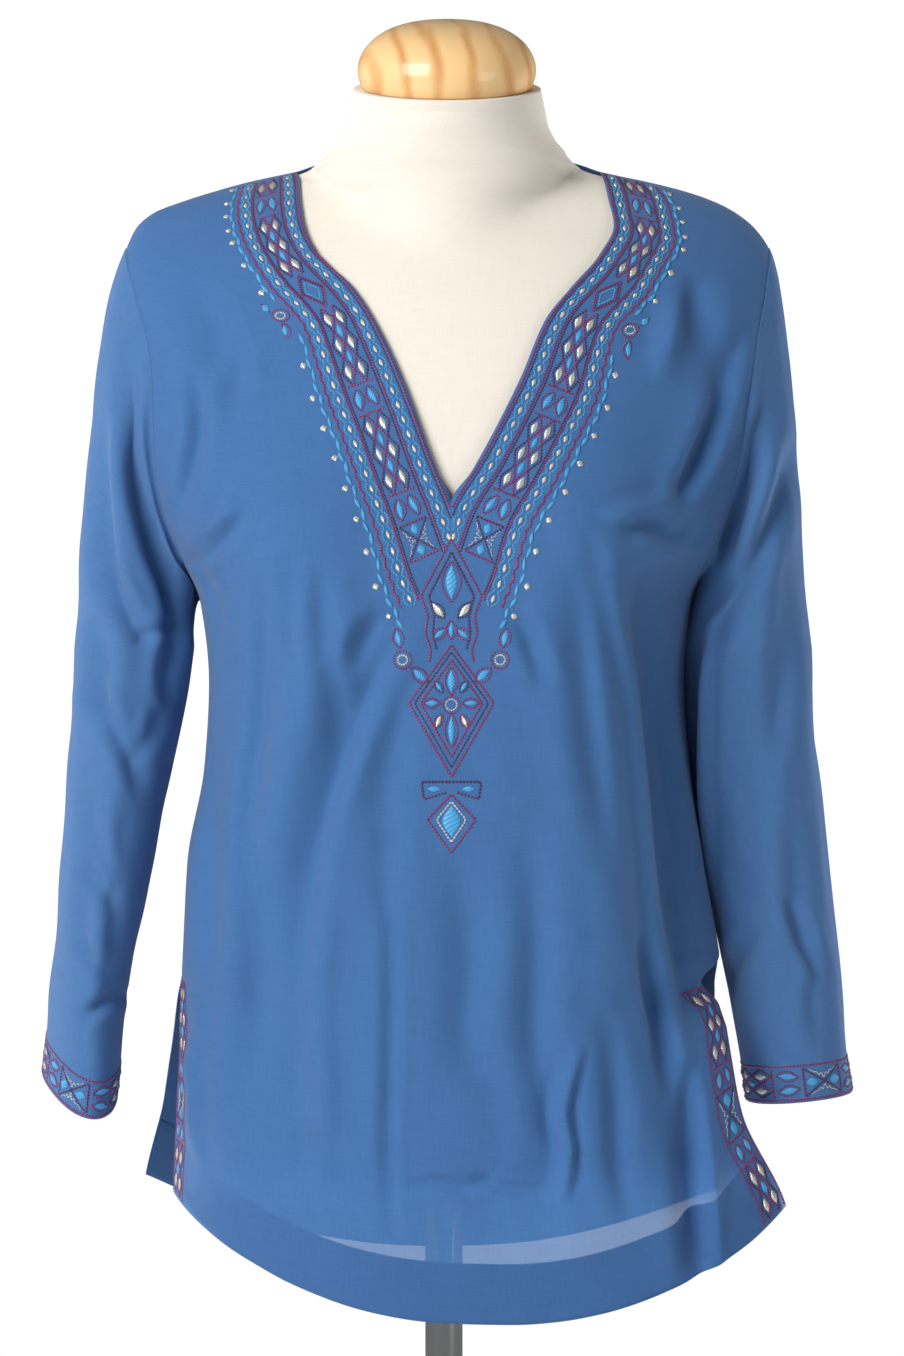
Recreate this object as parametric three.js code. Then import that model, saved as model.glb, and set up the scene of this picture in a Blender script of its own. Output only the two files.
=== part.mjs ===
// A long-sleeve tunic blouse with embroidered borders, worn by a limbless dress form
// with a wooden neck cap, on a steel pole with a round foot.
//
// Millimetres, +Z up. The blouse's front faces -Y, so its left-hand side in a view from
// the front is at -X. The origin is on the floor, in the middle of the foot's underside.
//
// Every piece of cloth is a thin closed wall. Its outer face is worked out from rings
// round the body, or round an arm, whose sizes stand in the tables below.

import * as THREE from "three";

// ---------------------------------------------------------------- driving sizes

const CLOTH = 1.5; // wall of the cloth
const SEAM = 0.3; // space between two pieces at a seam
const SLEEVE_SPACE = 0.6; // the same where a sleeve leaves the armhole at an angle
const BORDER = 1.0; // an embroidered border's own wall
const BORDER_SPACE = 0.3; // between a border and the cloth that it lies on

const SLIT_TOP = 927; // the side seams end here, and the slits begin
const BORDER_TOP = 910; // upper end of the slits' embroidered borders
const UNDERARM = 1160; // lowest point of the armholes
const V_POINT = 1220; // lowest point of the neckline
const SHOULDER_TIP = 1397; // highest point of the armholes
const NECK_CORNER = 1448; // where the shoulder seams reach the neckline
const HEM_TURN = 38; // height of the hem's turn-up

// Rings round the body, as seen from above: how far each reaches to the sides, to the
// front and to the back, how square it is (2 is an ellipse), and how far back its sides lie.
const body = [
  { z: 690, left: 182, right: 200, front: 132, back: 113, square: 2.25, side: 0 },
  { z: 800, left: 179, right: 194, front: 131, back: 110, square: 2.25, side: 0 },
  { z: 880, left: 176, right: 190, front: 129, back: 107, square: 2.25, side: 0 },
  { z: 927, left: 174, right: 184, front: 127, back: 105, square: 2.25, side: 0 },
  { z: 985, left: 171, right: 174, front: 124, back: 102, square: 2.25, side: 0 },
  { z: 1050, left: 160, right: 165, front: 120, back: 99, square: 2.25, side: 0 },
  { z: 1105, left: 157, right: 161, front: 118, back: 97, square: 2.3, side: 0 },
  { z: 1160, left: 163, right: 166, front: 119, back: 99, square: 2.35, side: 0 },
  { z: 1190, left: 178, right: 181, front: 118, back: 102, square: 2.4, side: 0 },
  { z: 1240, left: 200, right: 203, front: 109, back: 106, square: 2.35, side: 1 },
  { z: 1290, left: 212, right: 217, front: 98, back: 108, square: 2.25, side: 2 },
  { z: 1340, left: 218, right: 224, front: 85, back: 107, square: 2.15, side: 4 },
  { z: 1380, left: 219, right: 225, front: 68, back: 102, square: 2.05, side: 6 },
  { z: 1397, left: 213, right: 218, front: 57, back: 98, square: 2.0, side: 7 },
  { z: 1410, left: 207, right: 209, front: 47, back: 94, square: 1.95, side: 8 },
  { z: 1420, left: 196, right: 197, front: 39, back: 91, square: 1.9, side: 8 },
  { z: 1428, left: 176, right: 182, front: 31, back: 88, square: 1.9, side: 8 },
  { z: 1435, left: 154, right: 162, front: 23, back: 85, square: 1.9, side: 8 },
  { z: 1441, left: 132, right: 138, front: 16, back: 82, square: 1.9, side: 7 },
  { z: 1445, left: 114, right: 119, front: 10, back: 80, square: 1.9, side: 7 },
  { z: 1448, left: 99, right: 105, front: 4, back: 78, square: 1.9, side: 6 },
  { z: 1455, left: 91, right: 97, front: 4, back: 72, square: 1.95, side: 6 },
  { z: 1463, left: 83.5, right: 89, front: 4, back: 66, square: 2.0, side: 6 },
];

// Below the slits' tops the front and the back part: where each one's side edges hang, and
// how far each is cut off from the ring's side, as a share of the ring's depth.
const slitEdges = {
  frontLeft: [
    { z: 690, x: 182, y: -16, cut: 0.34 },
    { z: 764, x: 180.5, y: -13, cut: 0.34 },
    { z: 823, x: 179, y: -9, cut: 0.3 },
    { z: 880, x: 176.5, y: -4, cut: 0.22 },
    { z: 927, x: 174, y: 0, cut: 0.1 },
  ],
  frontRight: [
    { z: 690, x: 240, y: -74, cut: 0.68 },
    { z: 764, x: 227, y: -64, cut: 0.68 },
    { z: 823, x: 204, y: -42, cut: 0.62 },
    { z: 880, x: 192, y: -18, cut: 0.52 },
    { z: 905, x: 187, y: -8, cut: 0.44 },
    { z: 927, x: 184, y: 0, cut: 0.3 },
  ],
  backLeft: [
    { z: 690, x: 213, y: 30, cut: 0.41 },
    { z: 764, x: 203.5, y: 24, cut: 0.41 },
    { z: 823, x: 193.5, y: 15, cut: 0.34 },
    { z: 880, x: 182.5, y: 5, cut: 0.22 },
    { z: 927, x: 174, y: 0, cut: 0.1 },
  ],
  backRight: [
    { z: 690, x: 190, y: 26, cut: 0.37 },
    { z: 764, x: 186, y: 20, cut: 0.37 },
    { z: 823, x: 182, y: 12, cut: 0.32 },
    { z: 880, x: 182, y: 4, cut: 0.22 },
    { z: 927, x: 184, y: 0, cut: 0.1 },
  ],
};
const SLIT_EASE = 34; // the cut grows from nothing over this height

// The armhole seams, seen from the front and from the back: how far out they run.
const armholes = [
  { z: 1160, frontLeft: 163, frontRight: 166, backLeft: 163, backRight: 166 },
  { z: 1185, frontLeft: 172.5, frontRight: 175.5, backLeft: 173.5, backRight: 176.5 },
  { z: 1205, frontLeft: 180, frontRight: 183.5, backLeft: 182.5, backRight: 186 },
  { z: 1220, frontLeft: 185, frontRight: 189, backLeft: 188, backRight: 192 },
  { z: 1258, frontLeft: 190, frontRight: 196, backLeft: 196, backRight: 201 },
  { z: 1298, frontLeft: 191, frontRight: 201, backLeft: 201, backRight: 207 },
  { z: 1325, frontLeft: 194, frontRight: 205, backLeft: 205, backRight: 211 },
  { z: 1355, frontLeft: 202, frontRight: 212, backLeft: 210, backRight: 217 },
  { z: 1383, frontLeft: 210, frontRight: 216, backLeft: 211, backRight: 217 },
  { z: 1397, frontLeft: 213, frontRight: 218, backLeft: 213, backRight: 218 },
];

// The neckline's edge at the left and at the right, and how far the embroidered border
// reaches beyond it. Under the V both edges are the middle line, and the border there is
// half the pendant.
const neckline = [
  { z: 690, left: 5, right: 5, border: 24 },
  { z: 990, left: 5, right: 5, border: 12 },
  { z: 1085, left: 5, right: 5, border: 26 },
  { z: 1150, left: 5, right: 5, border: 36 },
  { z: 1220, left: 5, right: 5, border: 60 },
  { z: 1240, left: -4, right: 18, border: 61 },
  { z: 1300, left: -26, right: 49, border: 62 },
  { z: 1340, left: -45, right: 66, border: 63 },
  { z: 1362, left: -59, right: 83, border: 63 },
  { z: 1385, left: -82, right: 102, border: 58 },
  { z: 1407, left: -92, right: 112, border: 54 },
  { z: 1426, left: -95, right: 109, border: 54 },
  { z: 1440, left: -96, right: 107, border: 56 },
  { z: 1448, left: -99, right: 105, border: 56 },
];

// The back goes on above the shoulder seams' ends, and its plain neckline runs back and up
// from there: how far round its ring each height of it starts (radians).
const backNeck = [
  { z: 1448, start: 0 },
  { z: 1452, start: 0.17 },
  { z: 1457, start: 0.36 },
  { z: 1463, start: 0.62 },
];

// Hems: the lowest point, how much higher the two corners are, and where the lowest lies
// between the edges, from -1 at the left to 1 at the right.
const frontHem = { low: 699, leftRise: 72, rightRise: 117, lowAt: 0.12, curve: 1.8 };
const backHem = { low: 709, leftRise: 73, rightRise: 60, lowAt: 0, curve: 2 };

// The bust carries the cloth at two rounded points.
const bust = { x: 97, z: 1190, stand: 15, wide: 52, above: 62, below: 190 };

// The largest folds: soft troughs (depth above 0) and ridges (below 0), each from its
// upper end to its lower end on the front (face -1) or on the back (face 1).
const folds = [
  { face: -1, x1: -34, z1: 1110, x2: -88, z2: 940, wide: 17, depth: 5 },
  { face: -1, x1: 122, z1: 1180, x2: 152, z2: 730, wide: 19, depth: 11 },
  { face: -1, x1: 96, z1: 1120, x2: 118, z2: 760, wide: 24, depth: -5 },
  { face: -1, x1: -118, z1: 1090, x2: -132, z2: 780, wide: 26, depth: 4 },
  { face: -1, x1: 30, z1: 1020, x2: 50, z2: 740, wide: 26, depth: 4 },
  { face: 1, x1: -70, z1: 1230, x2: -92, z2: 760, wide: 24, depth: 7 },
  { face: 1, x1: 62, z1: 1250, x2: 84, z2: 770, wide: 26, depth: 8 },
  { face: 1, x1: -4, z1: 1160, x2: 6, z2: 760, wide: 30, depth: -5 },
];

// Sections down each sleeve: the middle of the section, its half width and half depth,
// its turn about the sleeve (degrees), and how its plane slopes in X and in Y.
const sleeves = {
  left: [
    { z: 1128, x: -207, y: 2, wide: 39, deep: 53, turn: 0, slopeX: 0, slopeY: 0 },
    { z: 1091, x: -210.5, y: 2, wide: 37.5, deep: 51, turn: 2, slopeX: 0, slopeY: 0 },
    { z: 1050, x: -217, y: 1, wide: 35, deep: 50, turn: 4, slopeX: -0.05, slopeY: 0.02 },
    { z: 1011, x: -222, y: 0, wide: 32, deep: 49, turn: 6, slopeX: -0.1, slopeY: 0.05 },
    { z: 970, x: -228, y: -1, wide: 29.5, deep: 48, turn: 8, slopeX: -0.15, slopeY: 0.1 },
    { z: 929, x: -234, y: -2, wide: 25.5, deep: 46, turn: 9, slopeX: -0.2, slopeY: 0.16 },
    { z: 892, x: -239, y: -3, wide: 24, deep: 45, turn: 11, slopeX: -0.26, slopeY: 0.24 },
    { z: 862, x: -241, y: -4, wide: 22.5, deep: 44.5, turn: 13, slopeX: -0.32, slopeY: 0.32 },
    { z: 836, x: -243.5, y: -5, wide: 22.5, deep: 44.5, turn: 13, slopeX: -0.32, slopeY: 0.32 },
  ],
  right: [
    { z: 1128, x: 206.5, y: 9, wide: 40.6, deep: 53, turn: 0, slopeX: 0, slopeY: 0 },
    { z: 1091, x: 207.2, y: 17, wide: 43.4, deep: 47, turn: -5, slopeX: 0, slopeY: 0 },
    { z: 1050, x: 210.8, y: 20, wide: 43.8, deep: 44, turn: -8, slopeX: 0, slopeY: 0 },
    { z: 1011, x: 214.8, y: 21, wide: 43.1, deep: 43, turn: -8, slopeX: 0, slopeY: 0 },
    { z: 970, x: 220, y: 20, wide: 41.6, deep: 43, turn: -6, slopeX: 0.02, slopeY: 0 },
    { z: 929, x: 226, y: 18, wide: 39, deep: 42, turn: -3, slopeX: 0.03, slopeY: 0 },
    { z: 892, x: 231, y: 16, wide: 37, deep: 41, turn: 0, slopeX: 0.05, slopeY: 0 },
    { z: 853, x: 236, y: 14, wide: 35, deep: 40, turn: 0, slopeX: 0.08, slopeY: 0 },
    { z: 827, x: 239.5, y: 14, wide: 36, deep: 40, turn: 0, slopeX: 0.1, slopeY: 0 },
  ],
};

// The sleeve's head, between the armhole and the first section: the pull of the cloth as
// it leaves the armhole and as it reaches the section, under the arm and on the shoulder,
// and how far it leans in there for each millimetre of its height.
const head = { rings: 6, leaveUnder: 4, reachUnder: 12, dropTop: 2.1 };
const headTop = {
  left: { leave: 56, reach: 130, lean: 0.09 },
  right: { leave: 20, reach: 165, lean: 0.1 },
};

// The dress form: a jersey-covered torso without limbs, close under the blouse's
// shoulders. Each ring joins the shoulders' own ring to an oval of the neck.
const form = [
  { z: 842, left: 112, right: 112, front: 84, back: 78, square: 2.1, side: 4 },
  { z: 848, left: 132, right: 132, front: 98, back: 92, square: 2.15, side: 4 },
  { z: 862, left: 146, right: 146, front: 104, back: 97, square: 2.2, side: 3 },
  { z: 900, left: 151, right: 152, front: 103, back: 95, square: 2.2, side: 2 },
  { z: 960, left: 146, right: 147, front: 100, back: 90, square: 2.2, side: 0 },
  { z: 1040, left: 124, right: 125, front: 92, back: 80, square: 2.15, side: 0 },
  { z: 1100, left: 128, right: 129, front: 98, back: 82, square: 2.2, side: 0 },
  { z: 1150, left: 143, right: 144, front: 107, back: 90, square: 2.3, side: 0 },
  { z: 1190, left: 154, right: 155, front: 109, back: 96, square: 2.35, side: 0 },
  { z: 1240, left: 168, right: 169, front: 103, back: 100, square: 2.35, side: 1 },
  { z: 1290, left: 178, right: 180, front: 94, back: 102, square: 2.3, side: 2 },
  { z: 1340, left: 186, right: 189, front: 81.5, back: 102, square: 2.2, side: 4 },
  { z: 1372, left: 191, right: 194, front: 69, back: 98, square: 2.1, side: 6 },
  { z: 1392, left: 191, right: 194, front: 57, back: 93, square: 2.05, side: 7 },
  { z: 1406, left: 189, right: 191, front: 46, back: 90, square: 2.0, side: 8 },
  { z: 1417, left: 183, right: 185, front: 37.5, back: 87, square: 1.95, side: 8 },
  { z: 1426, left: 169, right: 174, front: 29.5, back: 84, square: 1.9, side: 8 },
  { z: 1433.1, left: 149, right: 156, front: 21.5, back: 81, square: 1.9, side: 8 },
  { z: 1439.1, left: 127, right: 133, front: 14.5, back: 78, square: 1.9, side: 7 },
  { z: 1443.1, left: 110, right: 115, front: 9, back: 75, square: 1.9, side: 7 },
  { z: 1446.3, left: 95.5, right: 101.5, front: 4, back: 72, square: 1.9, side: 6 },
  { z: 1449, left: 84, right: 91, front: 20, back: 67, square: 1.95, side: 5 },
  { z: 1453, left: 77, right: 84, front: 36, back: 62, square: 2.0, side: 3 },
  { z: 1459, left: 70.5, right: 77, front: 50, back: 58, square: 2.0, side: 1 },
  { z: 1467, left: 65.5, right: 71, front: 58, back: 56, square: 2.0, side: -1 },
  { z: 1476, left: 62, right: 66.5, front: 62, back: 54, square: 2.0, side: -3 },
];
const neckOval = [
  { z: 1372, wide: 40, front: 40, back: 40 },
  { z: 1392, wide: 54, front: 55, back: 50 },
  { z: 1406, wide: 62, front: 58, back: 60 },
  { z: 1425, wide: 65, front: 60, back: 65 },
  { z: 1445, wide: 65, front: 62, back: 66 },
  { z: 1466, wide: 60, front: 65, back: 58 },
  { z: 1476, wide: 58, front: 66, back: 50 },
];
const blend = 12; // how sharply the shoulders meet the neck
// The neck leans forward, and its top is cut square to it.
const neck = { radius: 63, topZ: 1501, topX: 2, topY: -9, lean: 17, rings: 2 };

// The wooden cap stands on the neck, and leans with it.
const cap = { radius: 59.5, height: 45, foot: 57, belly: 12 };

// The pole, its flange under the torso, and the foot.
const pole = { radius: 12.5, flange: 36, flangeHeight: 10 };
const foot = { radius: 190, edge: 6, rise: 16, hub: 24, hubHeight: 46 };

// ---------------------------------------------------------------- colours

const colours = {
  cloth: { color: 0x2a62a8, roughness: 0.85, metalness: 0 },
  border: { color: 0x5b3a86, roughness: 0.6, metalness: 0 },
  jersey: { color: 0xf3ead9, roughness: 0.95, metalness: 0 },
  wood: { color: 0xe0b074, roughness: 0.35, metalness: 0 },
  steel: { color: 0xc9ccd0, roughness: 0.15, metalness: 1 },
};

// ---------------------------------------------------------------- reading the tables

// A smooth value from one column of a table whose rows rise in z, without overshoot.
function column(table, name) {
  const z = table.map((row) => row.z);
  const v = table.map((row) => row[name]);
  const last = z.length - 1;
  const slope = z.slice(1).map((_, i) => (v[i + 1] - v[i]) / (z[i + 1] - z[i]));
  const tangent = v.map((_, i) => {
    if (i === 0) return slope[0];
    if (i === last) return slope[last - 1];
    const [a, b] = [slope[i - 1], slope[i]];
    return a * b <= 0 ? 0 : (2 * a * b) / (a + b);
  });
  return (at) => {
    if (at <= z[0]) return v[0];
    if (at >= z[last]) return v[last];
    const i = z.findIndex((low, k) => at >= low && at < z[k + 1]);
    const step = z[i + 1] - z[i];
    const t = (at - z[i]) / step;
    const [t2, t3] = [t * t, t * t * t];
    return (
      (2 * t3 - 3 * t2 + 1) * v[i] +
      (t3 - 2 * t2 + t) * step * tangent[i] +
      (3 * t2 - 2 * t3) * v[i + 1] +
      (t3 - t2) * step * tangent[i + 1]
    );
  };
}

// Every column of a table as a function of z.
function columns(table) {
  const names = Object.keys(table[0]).filter((name) => name !== "z");
  return Object.fromEntries(names.map((name) => [name, column(table, name)]));
}

const bodyAt = columns(body);
const edgeAt = Object.fromEntries(
  Object.entries(slitEdges).map(([name, table]) => [name, columns(table)]));
const armholeAt = columns(armholes);
const neckAt = columns(neckline);
const neckOvalAt = columns(neckOval);
const backNeckAt = columns(backNeck);

// ---------------------------------------------------------------- the body's surface

const FRONT = -1;
const BACK = 1;

// A point of a ring: turn is 0 at the left side, PI / 2 in the middle, PI at the right.
function ringPoint(ring, turn) {
  const power = 2 / ring.square;
  const across = Math.cos(turn);
  const reach = across > 0 ? ring.left : ring.right;
  const sideY = across > 0 ? ring.leftY : ring.rightY;
  const x = -Math.sign(across) * reach * Math.abs(across) ** power;
  const y = sideY + (ring.middleY - sideY) * Math.max(Math.sin(turn), 0) ** power;
  return [x, y];
}

// The turn at which a ring is as far out as x.
function turnAt(ring, x) {
  const reach = x < 0 ? ring.left : ring.right;
  const across = Math.min(Math.abs(x) / reach, 1) ** (ring.square / 2);
  return x < 0 ? Math.acos(across) : Math.PI - Math.acos(across);
}

function edgeName(face, side) {
  return (face === FRONT ? "front" : "back") + (side === "left" ? "Left" : "Right");
}

// The blouse's ring at height z. Under the slits' tops its two halves part.
function blouseRing(z, face) {
  const ring = {
    left: bodyAt.left(z),
    right: bodyAt.right(z),
    leftY: bodyAt.side(z),
    rightY: bodyAt.side(z),
    middleY: face * (face === FRONT ? bodyAt.front(z) : bodyAt.back(z)),
    square: bodyAt.square(z),
  };
  if (z >= SLIT_TOP) return ring;
  // The ring is wider than the edge, so that it is cut where it still faces outwards.
  for (const side of ["left", "right"]) {
    const edge = edgeAt[edgeName(face, side)];
    const share = edge.cut(z) * THREE.MathUtils.smoothstep(SLIT_TOP - z, 0, SLIT_EASE);
    ring[side] = edge.x(z) / (1 - share ** ring.square) ** (1 / ring.square);
    ring[`${side}Y`] = (edge.y(z) - ring.middleY * share) / (1 - share);
  }
  return ring;
}

// How far the bust stands out at x and z: the form rounds in again under it, and the
// cloth hangs on from it.
function bustStand(x, z, below = bust.above) {
  const up = (z - bust.z) / (z > bust.z ? bust.above : below);
  const bump = (middle) => Math.exp(-(((x - middle) / bust.wide) ** 2) - up * up);
  return bust.stand * (bump(-bust.x) + bump(bust.x));
}

// How far folds and the bust move the cloth outwards at x and z.
function relief(x, z, face) {
  let out = 0;
  for (const fold of folds) {
    if (fold.face !== face) continue;
    const along = (fold.z1 - z) / (fold.z1 - fold.z2);
    const strength = Math.sin(Math.PI * Math.min(Math.max(along, 0), 1)) ** 0.7;
    const off = (x - fold.x1 - (fold.x2 - fold.x1) * along) / fold.wide;
    out -= fold.depth * strength * Math.exp(-off * off);
  }
  return face === FRONT ? out + bustStand(x, z, bust.below) : out;
}

// A point of the blouse's outer face.
function blousePoint(turn, z, face) {
  const [x, y] = ringPoint(blouseRing(z, face), turn);
  const flat = Math.max(Math.sin(turn), 0);
  return new THREE.Vector3(x, y + face * relief(x, z, face) * flat, z);
}

// The outward direction there. Past a side the other face is used, so that the front and
// the back have the same direction along their seams.
function blouseNormal(turn, z, face) {
  const step = 0.02;
  const rise = 1.5;
  const at = (t, h) => {
    if (t < 0) return blousePoint(-t, h, -face);
    if (t > Math.PI) return blousePoint(2 * Math.PI - t, h, -face);
    return blousePoint(t, h, face);
  };
  const parted = z < SLIT_TOP;
  const low = parted ? Math.max(turn - step, 0) : turn - step;
  const high = parted ? Math.min(turn + step, Math.PI) : turn + step;
  const across = at(high, z).sub(at(low, z));
  const up = at(turn, z + rise).sub(at(turn, z - rise));
  const normal = across.cross(up).normalize();
  return face === FRONT ? normal : normal.negate();
}

// ---------------------------------------------------------------- walls from sheets

// A sheet has points, the outward direction at each, and faces of three or four corners,
// counted anticlockwise from outside. thicken makes it a closed wall.
function thicken(sheet, wall) {
  const { points, normals, faces } = mergePoints(sheet);
  const count = points.length;
  const position = [];
  for (const p of points) position.push(p.x, p.y, p.z);
  points.forEach((p, i) => {
    const n = normals[i];
    position.push(p.x - n.x * wall, p.y - n.y * wall, p.z - n.z * wall);
  });
  const index = [];
  const triangle = (a, b, c) => index.push(a, b, c);
  const edges = new Map();
  for (const face of faces) {
    for (let k = 1; k < face.length - 1; k += 1) {
      triangle(face[0], face[k], face[k + 1]);
      triangle(face[0] + count, face[k + 1] + count, face[k] + count);
    }
    face.forEach((a, k) => {
      const b = face[(k + 1) % face.length];
      if (!edges.delete(`${b},${a}`)) edges.set(`${a},${b}`, [a, b]);
    });
  }
  for (const [a, b] of edges.values()) {
    triangle(a, a + count, b + count);
    triangle(a, b + count, b);
  }
  const geometry = new THREE.BufferGeometry();
  geometry.setAttribute("position", new THREE.Float32BufferAttribute(position, 3));
  geometry.setIndex(index);
  geometry.computeVertexNormals();
  return geometry;
}

// Points in the same place become one, and faces that shrink to a line go.
function mergePoints({ points, normals, faces }) {
  const places = new Map();
  const kept = [];
  const moved = points.map((p, i) => {
    const key = [p.x, p.y, p.z].map((v) => Math.round(v * 100)).join();
    if (!places.has(key)) {
      places.set(key, kept.length);
      kept.push(i);
    }
    return places.get(key);
  });
  const whole = faces
    .map((face) => face.map((i) => moved[i]))
    .map((face) => face.filter((v, k) => v !== face[(k + 1) % face.length]))
    .filter((face) => face.length > 2);
  return {
    points: kept.map((i) => points[i]),
    normals: kept.map((i) => normals[i]),
    faces: whole,
  };
}

// The same sheet moved out, with only the faces that keep chooses by row and column.
function lifted(sheet, lift, keep) {
  return {
    points: sheet.points.map((p, i) => p.clone().addScaledVector(sheet.normals[i], lift)),
    normals: sheet.normals,
    faces: sheet.faces.filter((_, i) => keep(sheet.cells[i])),
  };
}

// ---------------------------------------------------------------- front and back

// Heights of the rows above the slits, and shares of the way up below them.
const rowsAbove = [
  985, 1045, 1100, UNDERARM, 1185, 1205, V_POINT, 1240, 1268, 1296, 1322, 1345, 1365, 1383,
  SHOULDER_TIP, 1410, 1420, 1428, 1435, 1441, 1445, NECK_CORNER,
];
const lowShares = [0, HEM_TURN / 220, 0.42, 0.66, (BORDER_TOP - 707) / 220, 1];
const backRowsAbove = [...rowsAbove, 1452, 1457, 1463];
const rowOf = (z) => lowShares.length + rowsAbove.indexOf(z);
const frontRows = lowShares.length + rowsAbove.length;
const backRows = lowShares.length + backRowsAbove.length;

function hemHeight(hem, share) {
  const towards = share > hem.lowAt ? 1 : -1;
  const rise = towards > 0 ? hem.rightRise : hem.leftRise;
  return hem.low + rise * ((share - hem.lowAt) / (towards - hem.lowAt)) ** hem.curve;
}

function rowHeight(row, share, hem) {
  if (row >= lowShares.length) return backRowsAbove[row - lowShares.length];
  const low = hemHeight(hem, share);
  return low + (SLIT_TOP - low) * lowShares[row];
}

// Where a panel's side edge is at height z: on the side seam or slit, the armhole or the
// shoulder seam.
function edgeX(z, face, side) {
  const name = side < 0 ? "left" : "right";
  if (z < SLIT_TOP) return side * edgeAt[edgeName(face, name)].x(z);
  if (z <= UNDERARM || z >= SHOULDER_TIP) return side * bodyAt[name](z);
  return side * armholeAt[edgeName(face, name)](z);
}

const SLIT_BORDER = 26; // width of the slits' borders
const columnsHalf = { border: 1, plain: 6, neck: 3 };
const half = columnsHalf.border + columnsHalf.plain + columnsHalf.neck;

// The turns of one half row of the front, from the side edge to the middle or neckline.
function frontHalfRow(z, side) {
  const ring = blouseRing(z, FRONT);
  const outer = edgeX(z, FRONT, side);
  const inner = neckAt[side < 0 ? "left" : "right"](z);
  const bandX = side * Math.min(side * inner + neckAt.border(z), side * outer);
  const turns = [turnAt(ring, outer), turnAt(ring, bandX), turnAt(ring, inner)];
  const girth = (ring.left + ring.right) / 2;
  const borderTurn = Math.min(SLIT_BORDER / girth, Math.abs(turns[1] - turns[0]));
  const borderEnd = turns[0] - side * borderTurn;
  const row = [turns[0]];
  for (let k = 0; k <= columnsHalf.plain; k += 1) {
    row.push(borderEnd + ((turns[1] - borderEnd) * k) / columnsHalf.plain);
  }
  for (let k = 1; k <= columnsHalf.neck; k += 1) {
    row.push(turns[1] + ((turns[2] - turns[1]) * k) / columnsHalf.neck);
  }
  return row;
}

// Seam space: the edges of the front and the back keep clear of the seam between them.
function seamShift(point, face) {
  return point.add(new THREE.Vector3(0, (face * SEAM) / 2, 0));
}

// One row at a share of the panel's width from its left edge.
function panelPoint(turn, row, face, hem) {
  const z = rowHeight(row, -Math.cos(turn), hem);
  return { point: blousePoint(turn, z, face), normal: blouseNormal(turn, z, face), z };
}

function addRow(sheet, turns, row, face, hem, isEdge) {
  return turns.map((turn, i) => {
    const { point, normal, z } = panelPoint(turn, row, face, hem);
    const onSeam = z <= UNDERARM || (z >= SHOULDER_TIP && z <= NECK_CORNER);
    if (isEdge(i) && onSeam) seamShift(point, face);
    sheet.points.push(point);
    sheet.normals.push(normal);
    return sheet.points.length - 1;
  });
}

// The front is one piece: above the V it parts into two.
function frontSheet() {
  const sheet = { points: [], normals: [], faces: [], cells: [] };
  const grid = { left: [], right: [] };
  for (let row = 0; row < frontRows; row += 1) {
    const z = rowHeight(row, 0, frontHem);
    const isEdge = (i) => i === 0;
    grid.left.push(addRow(sheet, frontHalfRow(z, -1), row, FRONT, frontHem, isEdge));
    grid.right.push(addRow(sheet, frontHalfRow(z, 1), row, FRONT, frontHem, isEdge));
  }
  for (const [name, rows] of Object.entries(grid)) {
    for (let row = 0; row < frontRows - 1; row += 1) {
      for (let i = 0; i < half; i += 1) {
        const face = [rows[row][i], rows[row][i + 1], rows[row + 1][i + 1], rows[row + 1][i]];
        sheet.faces.push(name === "left" ? face : face.reverse());
        sheet.cells.push({ row, side: name, border: i === 0, neck: i >= half - columnsHalf.neck });
      }
    }
  }
  return sheet;
}

const backColumns = 16;

function backSheet() {
  const sheet = { points: [], normals: [], faces: [], cells: [] };
  const rows = [];
  for (let row = 0; row < backRows; row += 1) {
    const z = rowHeight(row, 0, backHem);
    const ring = blouseRing(z, BACK);
    const start = backNeckAt.start(z);
    const first = turnAt(ring, edgeX(z, BACK, -1)) + start;
    const last = turnAt(ring, edgeX(z, BACK, 1)) - start;
    const border = (2 * SLIT_BORDER) / (ring.left + ring.right);
    const turns = [first];
    for (let k = 0; k <= backColumns - 2; k += 1) {
      turns.push(first + border + ((last - first - 2 * border) * k) / (backColumns - 2));
    }
    turns.push(last);
    const isEdge = (i) => i === 0 || i === backColumns;
    rows.push(addRow(sheet, turns, row, BACK, backHem, isEdge));
  }
  for (let row = 0; row < backRows - 1; row += 1) {
    for (let i = 0; i < backColumns; i += 1) {
      sheet.faces.push([rows[row][i + 1], rows[row][i], rows[row + 1][i], rows[row + 1][i + 1]]);
      const side = i < backColumns / 2 ? "left" : "right";
      sheet.cells.push({ row, side, border: i === 0 || i === backColumns - 1 });
    }
  }
  return sheet;
}

// ---------------------------------------------------------------- sleeves

// The armhole as a closed ring: from under the arm up the front and down the back.
function armholeRing(side) {
  const heights = rowsAbove.filter((z) => z >= UNDERARM && z <= SHOULDER_TIP);
  const at = (z, face) => {
    const turn = turnAt(blouseRing(z, face), edgeX(z, face, side));
    return blousePoint(turn, z, face);
  };
  const up = heights.map((z) => at(z, FRONT));
  const down = heights.slice(1, -1).reverse().map((z) => at(z, BACK));
  return [...up, ...down];
}

// Turns about the sleeve that share out the section as the seam shares out the armhole.
function sharedTurns(ring) {
  const reach = [0];
  ring.forEach((p, i) => reach.push(reach[i] + p.distanceTo(ring[(i + 1) % ring.length])));
  const total = reach[ring.length];
  return ring.map((_, i) => (2 * Math.PI * reach[i]) / total);
}

// A point of a section. Turn 0 is nearest the body, a quarter turn is at the front.
function sectionPoint(section, turn, side) {
  const spin = THREE.MathUtils.degToRad(section.turn);
  const u = -side * section.wide * Math.cos(turn);
  const v = -section.deep * Math.sin(turn);
  const x = u * Math.cos(spin) - v * Math.sin(spin);
  const y = u * Math.sin(spin) + v * Math.cos(spin);
  const z = section.slopeX * x + section.slopeY * y;
  return new THREE.Vector3(section.x + x, section.y + y, section.z + z);
}

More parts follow.
